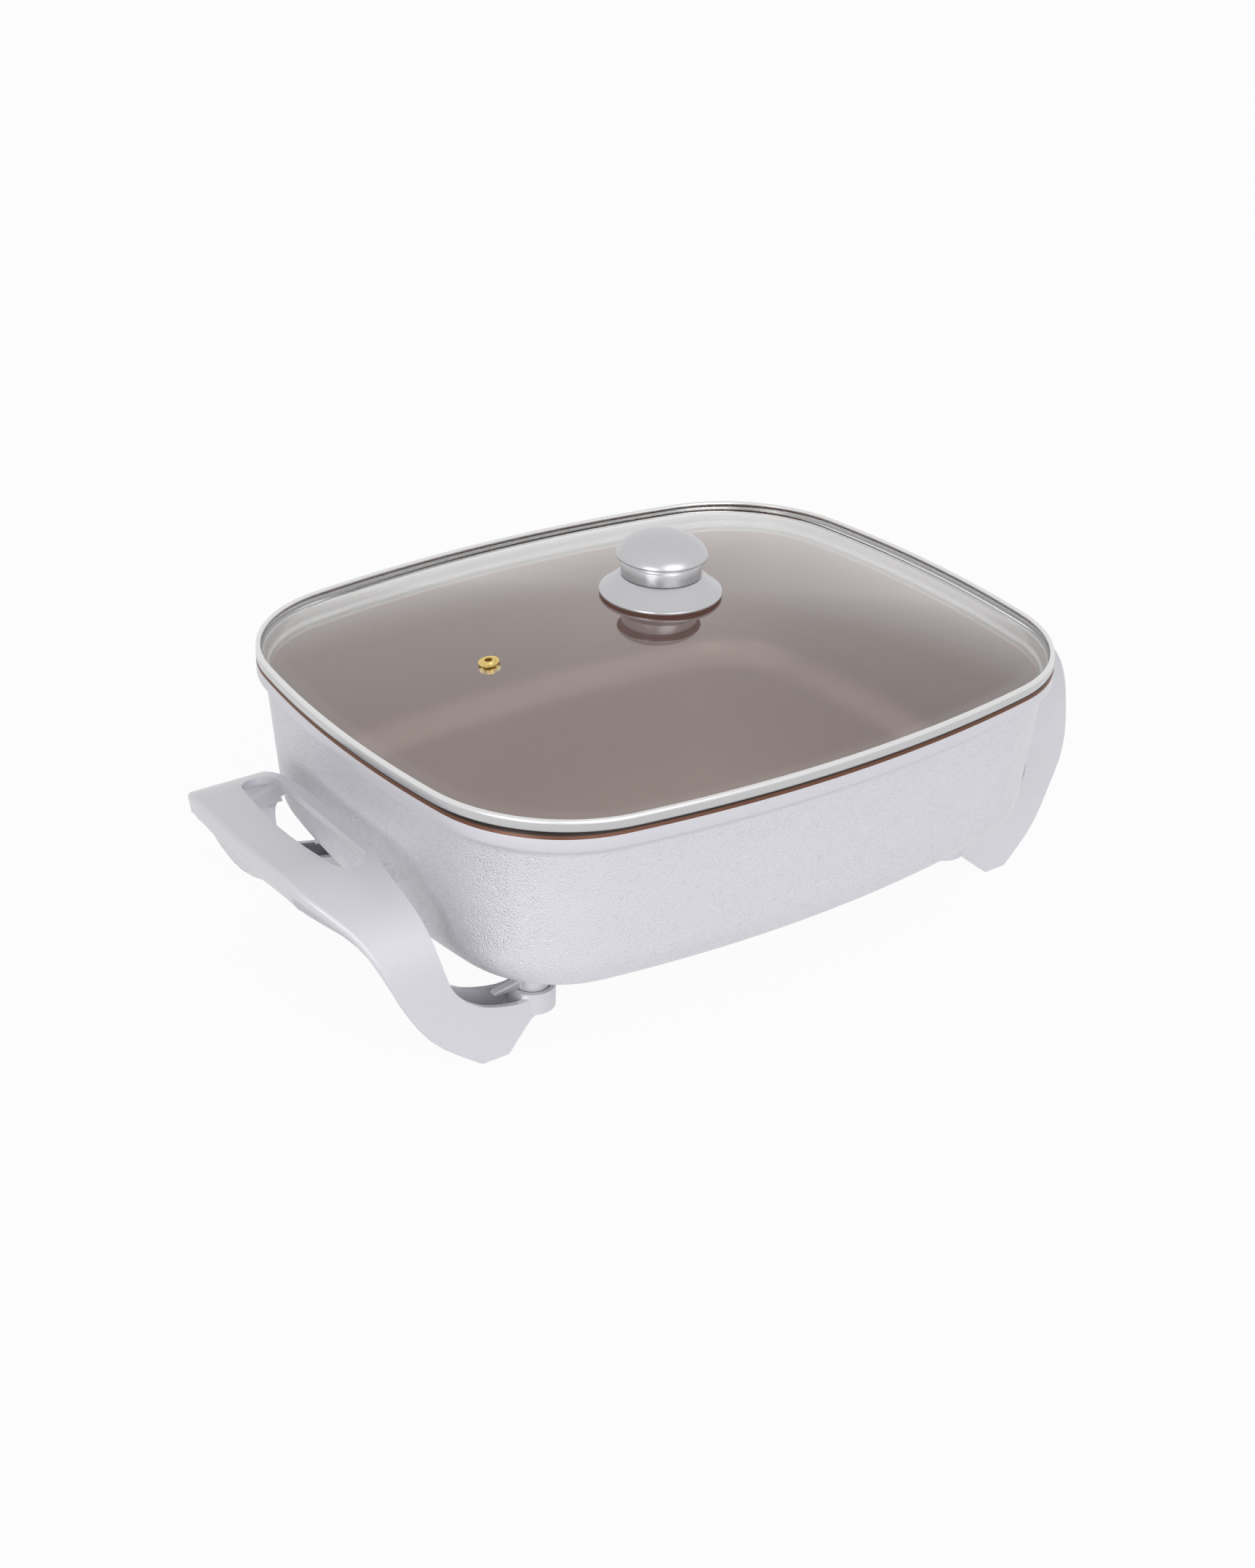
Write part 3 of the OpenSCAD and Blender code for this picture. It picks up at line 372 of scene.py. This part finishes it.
def handle_lacquer(place):
    flake, drift, colour = pearl(place, 16, (0.600, 0.594, 0.640), (0.690, 0.686, 0.720))
    return surface(colour, 0.38 + 0.08 * flake + 0.05 * drift, noise(place, 700), 0.00004)


def knob_lacquer(place):
    flake, drift, colour = pearl(place, 30, (0.500, 0.500, 0.520), (0.570, 0.570, 0.592))
    return surface(colour, 0.28 + 0.06 * flake, noise(place, 700), 0.00004)


clear_coat = {"Coat_Weight": 0.5, "Coat_Roughness": 0.12}
lacquer = finish("silver_pearl_lacquer", handle_lacquer, Metallic=0.25, **clear_coat)
silver = finish("knob_silver_lacquer", knob_lacquer, Metallic=0.8)

# %% [markdown]
# ## The band's steel
# The lid's band is rolled stainless steel, brushed along the band. Its lower lip, which sits on the
# rim, is painted dark as a painted shadow of the gap beneath it, and the turned-over top is painted
# light as a painted highlight of its round. The brushed lines are a noise that is stretched along the
# band, and the painted shadow and highlight follow the height.

# %% Rolled steel
LIP_SHADOW_PAINT = (142.2, 143.1)
TOP_HIGHLIGHT_PAINT = (146.3, 147.0)


def rolled_steel(place):
    lines = noise(place, 900, 3, 0.6, (0.15, 0.15, 2.2))
    colour = colours(noise(place, 60), (0.53, 0.53, 0.54), (0.58, 0.58, 0.59))
    # Painted shadow: below these heights the lower lip is nearly black, standing for the shade of the
    # gap under the band.
    colour = colours(above(place, *LIP_SHADOW_PAINT), (0.045, 0.040, 0.038), colour)
    # Painted highlight: above these heights the turned-over top is painted light, standing for the light
    # that its round catches.
    colour = colours(above(place, *TOP_HIGHLIGHT_PAINT), colour, (0.72, 0.72, 0.72))
    return surface(colour, 0.22 + 0.12 * lines, lines, 0.00003, 0.4)


band_steel = finish("rolled_band_steel", rolled_steel, Metallic=1.0)

# %% [markdown]
# ## Other metals, ceramic and rubber
# The vent and the thread in the knob are brass, the screws are zinc plated, and the heating tube has
# gone dull and dark from the heat. The plug pins sit in fired ceramic, the legs on washers of pressed
# board, and a silicone ring seals the knob's hole. In most of them one noise drives colour, roughness
# and relief together, as a real stain or pore does.

# %% Small finishes
def turned_brass(place):
    rings = noise(place, 1600, 2, 0.6)
    colour = colours(noise(place, 300), (0.62, 0.43, 0.13), (0.78, 0.60, 0.24))
    return surface(colour, 0.20 + 0.16 * rings, rings, 0.00004)


def zinc_plate(place):
    spangle = pebbles(place, 420, 0.2)
    colour = colours(spangle, (0.60, 0.61, 0.62), (0.72, 0.73, 0.74))
    return surface(colour, 0.26 + 0.16 * noise(place, 500, 3), spangle, 0.00003, 0.3)


def heated_steel(place):
    scale = noise(place, 220, 4, 0.7)
    colour = colours(scale.rise(0.4, 0.65), (0.10, 0.095, 0.09), (0.20, 0.19, 0.18))
    return surface(colour, 0.42 + 0.2 * scale, scale, 0.0001)


def fired_ceramic(place):
    pores = noise(place, 1400, 3, 0.7)
    colour = colours(pores.rise(0.3, 0.7), (0.80, 0.78, 0.72), (0.88, 0.87, 0.82))
    return surface(colour, 0.45 + 0.2 * pores, pores, 0.00006)


def pressed_board(place):
    flecks = noise(place, 900, 3, 0.7)
    colour = colours(flecks.rise(0.45, 0.6), (0.045, 0.043, 0.040), (0.12, 0.115, 0.105))
    return surface(colour, 0.6 + 0.2 * flecks, flecks, 0.0001)


def silicone(place):
    bloom = noise(place, 500, 3, 0.6)
    colour = colours(bloom, (0.25, 0.25, 0.26), (0.34, 0.34, 0.35))
    return surface(colour, 0.45 + 0.15 * bloom, bloom, 0.00005)


brass = finish("turned_brass", turned_brass, Metallic=1.0)
zinc = finish("zinc_plated_steel", zinc_plate, Metallic=1.0)
dark_steel = finish("heated_steel", heated_steel, Metallic=0.8)
ceramic = finish("fired_ceramic", fired_ceramic)
board = finish("pressed_washer_board", pressed_board)
rubber = finish("seal_silicone", silicone)

# %% [markdown]
# ## Glass
# A pane mirrors a little of the room in each of its two faces, more the flatter one looks across it,
# and lets the rest through. Here the outer face does the work of both: with a share F from one face,
# two faces mirror 2F / (1 + F). What isn't mirrored passes straight on, so the light reaches the pan.
# The back of a face mirrors nothing, or the ray would be caught inside the glass.

# %% Lid glass
GLASS_IOR = 1.7
GLASS_TINT = (0.955, 0.965, 0.960, 1)

clear_glass = bpy.data.materials.new("lid_glass_clear")
pane = empty_tree(clear_glass)
one_face = pane.node("ShaderNodeFresnel", None, {"IOR": GLASS_IOR})
back_face = pane.node("ShaderNodeNewGeometry", output="Backfacing")
mirrored = 2 * one_face / (1 + one_face) * (1 - back_face)
pane_place = pane.node("ShaderNodeTexCoord", output="Object")
smears = 0.015 + 0.03 * noise(pane_place, 12, 3).rise(0.45, 0.8)
through = pane.node("ShaderNodeBsdfTransparent", None, {"Color": GLASS_TINT})
shine = pane.node("ShaderNodeBsdfGlossy", None, {"Color": WHITE, "Roughness": smears})
mix_surface(pane, "ShaderNodeOutputMaterial", mirrored, through, shine)
print("glass has", len(pane.tree.nodes), "nodes")

# %% [markdown]
# ## The rounded outline
# Seen from above, pan and lid are rectangles with bowed sides and big round corners. Each quarter is
# three arcs that run into one another. A single vertex is spun about the centre of each arc in turn,
# and the quarter is mirrored twice. Each vertex remembers its way outwards, so a later step can move
# the whole outline in or out by an exact distance.

# %% Outline of tangent arcs
def bow_radius(half, bow):
    """Radius of the arc whose middle stands bow above a straight line 2 * half long."""
    return (half**2 + bow**2) / (2 * bow)


def tangent_arcs(half_length, half_width, corner_r, long_r, short_r):
    """Centres and turns of the short side's, the corner's and the long side's arc, and their start."""
    long_c = Vector((0, half_width - long_r))
    short_c = Vector((half_length - short_r, 0))
    between = short_c - long_c
    reach = between.length
    along = between / reach
    # The corner's centre is long_r - corner_r from one centre and short_r - corner_r from the other.
    way = ((long_r - corner_r) ** 2 - (short_r - corner_r) ** 2 + reach**2) / (2 * reach)
    aside = math.sqrt((long_r - corner_r) ** 2 - way**2)
    corner_c = long_c + along * way + Vector((along.y, -along.x)) * aside
    first = math.atan2(corner_c.y - short_c.y, corner_c.x - short_c.x)
    second = math.atan2(corner_c.y - long_c.y, corner_c.x - long_c.x)
    turns = (first, second - first, math.pi / 2 - second)
    return (short_c, corner_c, long_c), turns, Vector((half_length, 0))


TINY = 1e-6


def outline_ring(bm, arcs, steps):
    """A closed ring of edges; each vertex keeps its outward direction in the layer 'out'."""
    centres, turns, start = arcs
    out = bm.verts.layers.float_vector.new("out")
    tip = bm.verts.new((*start * MM, 0))
    tip[out] = (1, 0, 0)
    for centre, turn, count in zip(centres, turns, steps):
        middle = Vector((*centre * MM, 0))
        before = set(bm.verts)
        spun = bmesh.ops.spin(bm, geom=[tip], cent=middle, axis=(0, 0, 1), angle=turn, steps=count)
        for v in set(bm.verts) - before:
            v[out] = (v.co - middle).normalized()
        tip = spun["geom_last"][0]
    for axis in "XY":
        bmesh.ops.mirror(bm, geom=bm.verts[:] + bm.edges[:], axis=axis, merge_dist=TINY)
    bmesh.ops.remove_doubles(bm, verts=bm.verts, dist=TINY)
    for v in bm.verts:
        # Mirroring copies the direction as it is, so its signs are taken from the vertex's place.
        pairs = zip(v[out][:2], v.co[:2])
        signed = [math.copysign(abs(way), at) if abs(at) > TINY else 0.0 for way, at in pairs]
        v[out] = Vector((*signed, 0)).normalized()
    return bm.edges[:]


# %% [markdown]
# ## Walking along a section
# A pan, a pane or a band has the same section all the way round, so it can be made like a potter's pot
# that isn't round: the outline is extruded, the new ring is moved in or out and up or down, and so on
# from one point of the section to the next. `arc` gives the points of a large round. Small rounds are
# written as a few points, whose heights on the band and the knob are given from a named height.

# %% Walk along a section
def next_ring(bm, ring, place):
    """Extrudes the ring and puts each new vertex where place(vertex) says."""
    made = bmesh.ops.extrude_edge_only(bm, edges=ring)["geom"]
    fresh = {g for g in made if isinstance(g, bmesh.types.BMVert)}
    for v in fresh:
        v.co = place(v)
    return [e for v in fresh for e in v.link_edges if e.other_vert(v) in fresh and e.verts[0] == v]


def walk(bm, ring, section, slots=None):
    """Extrudes the ring along (inset, height) points in mm; slots gives each strip its material."""
    out = bm.verts.layers.float_vector["out"]
    inset, height = section[0]
    for v in {v for e in ring for v in e.verts}:
        v.co = v.co - v[out] * inset * MM
        v.co.z = height * MM
    for k in range(1, len(section)):
        step = (section[k][0] - section[k - 1][0]) * MM
        level = section[k][1] * MM
        known = set(bm.faces)
        ring = next_ring(bm, ring, lambda v: Vector((*(v.co - v[out] * step)[:2], level)))
        for f in set(bm.faces) - known:
            f.material_index = slots[k] if slots else 0
    return ring


def arc(centre, radius, start, end, count):
    """Points (inset, height) on a round, from the angle start to the angle end in degrees."""
    turns = [math.radians(start + (end - start) * i / count) for i in range(count + 1)]
    return [(centre[0] + radius * math.cos(a), centre[1] + radius * math.sin(a)) for a in turns]


def measured_from(z, points):
    """Points of a section whose heights are given from the height z."""
    return [(across, z + height) for across, height in points]


# %% [markdown]
# ## From a bmesh to a piece
# A finished bmesh becomes an object that sits at the origin, with smooth shading that stops at sharp
# edges, and it rides on the base or on the lid.

# %% Finish a piece
def piece(name, bm, body, materials, stands_for, sharp, solid=True):
    """Makes the object; its smooth shading stops at edges that turn by more than sharp degrees."""
    # A solid that was extruded here may be inside out. A CAD node's copy points outwards already.
    if solid:
        bmesh.ops.remove_doubles(bm, verts=bm.verts, dist=TINY)
        bmesh.ops.recalc_face_normals(bm, faces=bm.faces)
    mesh = bpy.data.meshes.new(name)
    bm.to_mesh(mesh)
    bm.free()
    for material in materials:
        mesh.materials.append(material)
    mesh.shade_smooth()
    mesh.set_sharp_from_angle(angle=math.radians(sharp))
    made = bpy.data.objects.new(name, mesh)
    bpy.context.scene.collection.objects.link(made)
    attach(made, body)
    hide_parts(*stands_for)
    print(name, "has", len(mesh.polygons), "faces")
    return made


# %% [markdown]
# ## The pan's section
# The pan is one casting: a flat floor, a big round between floor and wall, a wall that leans out a
# little, a ledge that the lid rests inside, a sloping coated edge and a smooth band above the hammered
# wall. Its section is written as stretches of points, one for each finish that it passes: from the
# floor up the inside, over the rim and down the outside.

# %% Section of the pan
PAN_HALF_LENGTH, PAN_HALF_WIDTH, PAN_CORNER_R = 198.8, 161.8, 75.8
LONG_SIDE_R = bow_radius(PAN_HALF_LENGTH, 26.7)
SHORT_SIDE_R = bow_radius(PAN_HALF_WIDTH, 22.5)
PAN_OUTLINE = tangent_arcs(PAN_HALF_LENGTH, PAN_HALF_WIDTH, PAN_CORNER_R, LONG_SIDE_R, SHORT_SIDE_R)
BASE_Z, RIM_Z = 41, 142.5
BASE_T, WALL_T = 5, 3.6
OUTER_ROUND = 24
INNER_ROUND = OUTER_ROUND - WALL_T
ROUND_STEPS = 14
FLAT_STRIP = 6
RIM_STEP, WALL_TOP, WALL_DRAFT = 4.7, 126, 0.088
PAINT, COATING, LIP = 0, 1, 2


def wall_inset(z):
    """How far the wall's outside is inside the outline at the height z."""
    return RIM_STEP + (WALL_TOP - z) * WALL_DRAFT


def wall_foot(z, inset, radius, start, end):
    """The round between wall and floor, whose middle is at the height z."""
    return arc((inset + radius, z), radius, start, end, ROUND_STEPS)


inner_z, outer_z = BASE_Z + BASE_T + INNER_ROUND, BASE_Z + OUTER_ROUND
inner_foot = wall_foot(inner_z, wall_inset(inner_z) + WALL_T, INNER_ROUND, 270, 180)
outer_foot = wall_foot(outer_z, wall_inset(outer_z), OUTER_ROUND, 180, 270)
inner_wall = [(wall_inset(z) + WALL_T, z) for z in (100, 130.6)] + [(7.75, 131.15), (7.45, 131.5)]
inside_line = [(inner_foot[0][0] + FLAT_STRIP, BASE_Z + BASE_T)] + inner_foot + inner_wall
ledge_line = [(7.25, 131.9), (7.15, 132.5), (7.1, 134.1), (6.95, 134.55), (6.6, 134.85), (6, 135.05)]
ledge_line += [(5.5, 135.35), (5.1, 136), (4.9, 136.8), (4.6, 139.5), (4.5, 141.3)]
ledge_line += [(4.35, 141.9), (4.1, 142.3), (3.7, RIM_Z)]
edge_line = [(2.3, RIM_Z), (1.8, 142.3), (1.4, 141.8), (0.95, 140.9)]
edge_line += [(0.5, 139.8), (0.2, 138.9), (0.05, 138.5)]
rim_band = [(0, 138.2), (0, 135), (0, 132.3)]
rim_foot = [(0.25, 131.7), (0.8, 131), (2.4, 129.5), (3.7, 128.2), (4.3, 127.3)]
outer_wall = [(wall_inset(z), z) for z in (WALL_TOP, 100)]
base_line = [(outer_foot[-1][0] + FLAT_STRIP, BASE_Z)]
outside_line = rim_band + rim_foot + outer_wall + outer_foot + base_line
print("corner arc's centre in mm:", [round(v, 1) for v in PAN_OUTLINE[0][1]])

# %% [markdown]
# ## The pan's shell
# The outline is walked along that section, and each stretch gets the number of its finish. The two ends
# are filled, so the shell is closed: one end is the floor inside, the other the flat underside.

# %% Pan shell
stretches = [(inside_line, COATING), (ledge_line, LIP), (edge_line, COATING), (outside_line, PAINT)]
section = [point for line, slot in stretches for point in line]
slots = [slot for line, slot in stretches for point in line]
pan = bmesh.new()
floor_ring = outline_ring(pan, PAN_OUTLINE, steps=(9, 22, 11))
base_ring = walk(pan, floor_ring, section, slots)
for ring, slot in ((floor_ring, COATING), (base_ring, PAINT)):
    filled = bmesh.ops.contextual_create(pan, geom=ring)
    for f in filled["faces"]:
        f.material_index = slot
piece("pan_shell", pan, "base", [pan_paint, pan_coating, pan_lip], ["pan"], 40)

# %% [markdown]
# ## Lugs and ribs under the pan
# Under the pan the casting carries four lugs for the leg screws and a channel for the heating tube.
# These already have their exact shape in the CAD node. A merged copy is cut just below the flat
# underside, and the cut rim is drawn up into the metal so that no gap shows.

# %% Underside of the casting
CUT_Z, HIDDEN_Z = BASE_Z - 0.1, BASE_Z + 1


def merged_copy(name):
    """A bmesh of a CAD node with its loose triangles joined."""
    bm = bmesh.new()
    bm.from_mesh(nodes[name].data)
    bmesh.ops.remove_doubles(bm, verts=bm.verts, dist=2 * TINY)
    bmesh.ops.dissolve_degenerate(bm, edges=bm.edges, dist=TINY)
    return bm


under = merged_copy("pan")
everything = under.verts[:] + under.edges[:] + under.faces[:]
cut = {"plane_co": (0, 0, CUT_Z * MM), "plane_no": (0, 0, 1), "clear_outer": True}
bmesh.ops.bisect_plane(under, geom=everything, **cut)
open_edges = [e for e in under.edges if e.is_boundary]
next_ring(under, open_edges, lambda v: Vector((v.co.x, v.co.y, HIDDEN_Z * MM)))
piece("pan_underside", under, "base", [pan_paint], ["pan"], 30, solid=False)

# %% [markdown]
# ## The lid's outline
# The lid overhangs the pan by a little more than a millimetre on every side. Its sides are bowed about
# the same centres as the pan's, so their radii grow by that overhang. Its corners are rounder.

# %% Outline of the lid
OVERHANG = 1.2
LID_HALF_LENGTH, LID_CORNER_R = 200, 83.6
# A hair less than half the CAD lid's width, so that rounding never takes the lid out of its box.
LID_HALF_WIDTH = 162.99
LID_LONG_R, LID_SHORT_R = LONG_SIDE_R + OVERHANG, SHORT_SIDE_R + OVERHANG
LID_OUTLINE = tangent_arcs(LID_HALF_LENGTH, LID_HALF_WIDTH, LID_CORNER_R, LID_LONG_R, LID_SHORT_R)
print("lid", 2 * LID_HALF_LENGTH, "by", 2 * LID_HALF_WIDTH, "mm")

# %% [markdown]
# ## The lid's glass
# The glass follows the outline inside the band and rises in a dome that is flat under the knob. The
# upper face is walked inwards as ever smaller copies of the outline, the lower face the same way 3 mm
# below, and both are joined at the edge. A hole for the knob's screw and one for the vent are left in
# the CAD node; here the knob and the vent cover them.

# %% Glass dome
LID_GAP = 0.3
BAND_Z = RIM_Z + LID_GAP
GLASS_SEAT, GLASS_T, GLASS_MARGIN = 0.6, 3, 7.6
GLASS_BOTTOM = BAND_Z + GLASS_SEAT
GLASS_TOP = GLASS_BOTTOM + GLASS_T
DOME_START = 1 - GLASS_MARGIN / LID_HALF_LENGTH
DOME_RISE, DOME_POWER = 28.7, 2.2
DOME_OUTER, DOME_MIDDLE, DOME_STEPS = 0.88, 0.07, 30


def dome_z(share):
    """Height of the glass's upper face where the outline has shrunk to this share."""
    return GLASS_TOP + DOME_RISE * (1 - min(1, share / DOME_START) ** DOME_POWER)


def shrink(bm, ring, scale, z):
    """The next ring inwards, a smaller copy of this one at the height z."""
    return next_ring(bm, ring, lambda v: Vector((v.co.x * scale, v.co.y * scale, z * MM)))


glass = bmesh.new()
lower_ring = outline_ring(glass, LID_OUTLINE, steps=(10, 22, 12))
edge_section = [(1.6, GLASS_BOTTOM), (1.6, GLASS_TOP - 0.5), (1.8, GLASS_TOP - 0.15), (2.2, GLASS_TOP)]
upper_ring = walk(glass, lower_ring, edge_section)
shares = [1, DOME_START, 0.945, 0.93, 0.91]
shares += [DOME_OUTER + (DOME_MIDDLE - DOME_OUTER) * i / DOME_STEPS for i in range(DOME_STEPS + 1)]
for ring, drop in ((upper_ring, 0), (lower_ring, GLASS_T)):
    for before, share in zip(shares, shares[1:]):
        ring = shrink(glass, ring, share / before, dome_z(share) - drop)
    bmesh.ops.contextual_create(glass, geom=ring)
piece("lid_pane", glass, "lid", [clear_glass], ["lid_glass"], 60)

# %% [markdown]
# ## The steel band
# A strip of stainless steel is rolled around the glass and crimped over its edge. Its section is a
# flat C with rounded lips, walked around as a closed loop.

# %% Lid band
lower_lip = [(2.8, 0), (1.5, 0), (1.3, -0.05), (1.2, -0.25), (1.1, -0.5), (0.8, -0.8)]
lower_lip += [(0.55, -0.85), (0.3, -0.75), (0.1, -0.5), (0, -0.1)]
outer_side = [(0, 1.8), (0, 3.9), (0.08, 4.4), (0.3, 4.95), (0.65, 5.35), (1.1, 5.5)]
upper_lip = [(1.7, 5.5), (2.15, 5.4), (2.5, 5.1), (2.72, 4.7), (2.8, 4.2), (2.8, 3.7), (2.3, 3.7)]
inner_top = [(2.3, 4.3), (2.1, 4.8), (1.7, 5), (1.1, 5), (0.75, 4.7), (0.5, 4)]
inner_side = [(0.5, 1.1), (0.65, 0.7), (1, 0.5), (2.8, 0.5)]
band_section = measured_from(BAND_Z, lower_lip + outer_side + upper_lip + inner_top + inner_side)

band = bmesh.new()
first_ring = outline_ring(band, LID_OUTLINE, steps=(12, 28, 14))
last_ring = walk(band, first_ring, band_section)
bmesh.ops.bridge_loops(band, edges=first_ring + last_ring)
piece("lid_rim", band, "lid", [band_steel], ["lid_band"], 50)

# %% [markdown]
# ## The knob
# The knob is turned about its middle: a wide disc that rises in a cone, a short waisted neck and a
# round head. Each is a line of vertices spun through a full turn, with small rounds where a moulding
# has them. The head's side is an oval arc, a little squarer than a true one.

# %% Turned pieces
def turned(name, points, stands_for):
    """Spins a line of (radius, height) points in mm into a piece of the lid."""
    bm = bmesh.new()
    line = [bm.verts.new((r * MM, 0, z * MM)) for r, z in points]
    edges = [bm.edges.new(pair) for pair in zip(line, line[1:])]
    full = {"cent": (0, 0, 0), "axis": (0, 0, 1), "angle": math.tau, "steps": 96}
    bmesh.ops.spin(bm, geom=line + edges, use_merge=True, **full)
    return piece(name, bm, "lid", [silver], stands_for, 32)


DISC_EDGE_H, DISC_RISE = 1.8, 8.6
CONE_R, CONE_TOP_R, CONE_STEPS = 32.4, 22.2, 8
NECK_H = 10.2
HEAD_R, HEAD_H, HEAD_EDGE_H, HEAD_STEPS = 24.5, 12.8, 0.8, 22
DISC_Z = dome_z(DOME_MIDDLE) + 0.6
NECK_Z = DISC_Z + DISC_EDGE_H + DISC_RISE
HEAD_Z = NECK_Z + NECK_H


def cone_point(t):
    """The disc's upper side, from its edge where t is 0 to the neck where it is 1."""
    rise = DISC_RISE * (0.93 * t + 0.07 * t * t)
    return CONE_R + (CONE_TOP_R - CONE_R) * t, DISC_Z + DISC_EDGE_H + rise


def head_point(w):
    """The head's side, from its widest place where the angle w is 0 to its middle at 90 degrees."""
    rise = (HEAD_H - HEAD_EDGE_H) * math.sin(w) ** 1.25
    return HEAD_R * math.cos(w) ** 0.9, HEAD_Z + HEAD_EDGE_H + rise


disc_edge = [(0, 0), (16, 0), (32.2, 0), (32.75, 0.2), (33, 0.6), (33, 1.2), (32.85, 1.6)]
cone = [cone_point(i / CONE_STEPS) for i in range(CONE_STEPS)]
disc_top = [(22.6, -0.35), (22.2, -0.05), (21.6, 0), (0, 0)]
disc_line = measured_from(DISC_Z, disc_edge) + cone + measured_from(NECK_Z, disc_top)
turned("knob_disc", disc_line, ["knob_flange"])

neck = [(0, 0), (20.7, 0), (21.2, 0.15), (21.45, 0.4), (21.5, 0.8), (21.5, 4), (21.5, 7.1)]
groove = [(21.4, 7.4), (21.1, 7.7), (20.95, 8.1)]
head_edge = [(20.9, -0.5), (21.1, -0.2), (23.7, 0), (24.2, 0.15), (24.45, 0.45)]
head_side = [head_point(math.radians(90 * i / HEAD_STEPS)) for i in range(HEAD_STEPS)]
knob_line = measured_from(NECK_Z, neck + groove) + measured_from(HEAD_Z, head_edge)
turned("knob", knob_line + head_side + [(0, HEAD_Z + HEAD_H)], ["knob_head"])

# %% [markdown]
# ## Handles
# Each handle is one moulding: a flat grip with a hand hole, two round shoulders and two legs. The CAD
# node has that whole shape, with rounded outer edges, so a merged copy of it is used. Its shoulders are
# made of flat strips, which would catch the light as facets. Cutting them finer could cure that, but
# the shape is good already and only its shading has to run on. So each corner of a strip gets a normal
# of its own, turned as the arch is at that distance from the middle of the grip.

# %% Smooth shading along the arch
FLAT_LENGTH = 77.2 * MM
SHOULDER_Z, LEG_Z = 101 * MM, 60 * MM
LEG_Y = 93 * MM
WIDE_STRIP = 200 * MM * MM
LEVEL, UPRIGHT = math.radians(1), math.radians(89)
SQUARE_TO_ARCH = 0.02


def slope_of(face):
    """How far a face is turned from level, towards either end of the handle."""
    return math.atan2(abs(face.normal.y), face.normal.z)


def on_arch(face):
    """Whether a face is a strip of the arch: the grip's top, a shoulder or a leg's outer side."""
    wide = face.area > WIDE_STRIP and face.center.z > LEG_Z
    high = face.center.z > SHOULDER_Z or wide
    outside = abs(face.center.y) > LEG_Y
    return abs(face.normal.x) < SQUARE_TO_ARCH and slope_of(face) < UPRIGHT and (high or outside)


def slope_at(knots, y):
    """The arch's slope at the distance y, between the slopes of the nearest two strips."""
    for (start, low), (end, high) in zip(knots, knots[1:]):
        if y <= end:
            return low + (high - low) * max(0, (y - start) / (end - start))
    return knots[-1][1]


def smooth_arch(mesh):
    """Lets the flat strips along the arch shade as the smooth curve that they follow."""
    strips = [face for face in mesh.polygons if on_arch(face)]
    knots = {FLAT_LENGTH / 2: 0}
    for face in strips:
        reach = [abs(mesh.vertices[i].co.y) for i in face.vertices]
        if slope_of(face) > LEVEL:
            knots[(min(reach) + max(reach)) / 2] = slope_of(face)
    knots = sorted(knots.items())
    normals = [Vector((0, 0, 0))] * len(mesh.loops)
    for face in strips:
        for corner in face.loop_indices:
            y = mesh.vertices[mesh.loops[corner].vertex_index].co.y
            slope = slope_at(knots, abs(y))
            normals[corner] = Vector((0, math.copysign(math.sin(slope), y), math.cos(slope)))
    # A corner whose normal is zero keeps the one that Blender works out.
    mesh.normals_split_custom_set(normals)
    slopes = [round(math.degrees(slope)) for y, slope in knots]
    print(len(strips), "strips along the arch, turned by", slopes, "degrees")


# %% [markdown]
# ## Handles and grip shells
# Under each grip sits a second, flatter shell that closes it. Both mouldings are merged copies of their
# nodes, with the triangles of each flat face joined into one face, so that the shading has no seams.

# %% Mouldings
def moulding(name, node):
    """A lacquered piece with the shape of a CAD node."""
    bm = merged_copy(node)
    bmesh.ops.dissolve_limit(bm, angle_limit=math.radians(0.4), verts=bm.verts, edges=bm.edges)
    return piece(name, bm, "base", [lacquer], [node], 28, solid=False)


for side in ("left", "right"):
    handle = moulding(side + "_handle_moulding", side + "_handle")
    smooth_arch(handle.data)
    moulding(side + "_grip_shell", side + "_grip_underside")

# %% [markdown]
# ## Small pieces
# Screws, washers, the heating tube, the plug pins with their guard and the vent keep the CAD node's
# own shape. Only their finish is added.

# %% Finishes of the small pieces
small = {
    "heating_element": dark_steel, "terminal_pins": zinc, "terminal_insulators": ceramic,
    "probe_sleeve": zinc, "terminal_guard": zinc, "guard_screws": zinc,
    "vent_eyelet": brass, "vent_washer": brass,
    "knob_insert": brass, "knob_seal": rubber, "knob_washer": zinc, "knob_screw": zinc,
}
for side in ("left", "right"):
    small[side + "_grip_screws"] = zinc
    small[side + "_leg_screws"] = zinc
    small[side + "_leg_washers"] = board
for name, material in small.items():
    nodes[name].data.materials.clear()
    nodes[name].data.materials.append(material)
print("finishes on", len(small), "CAD nodes")
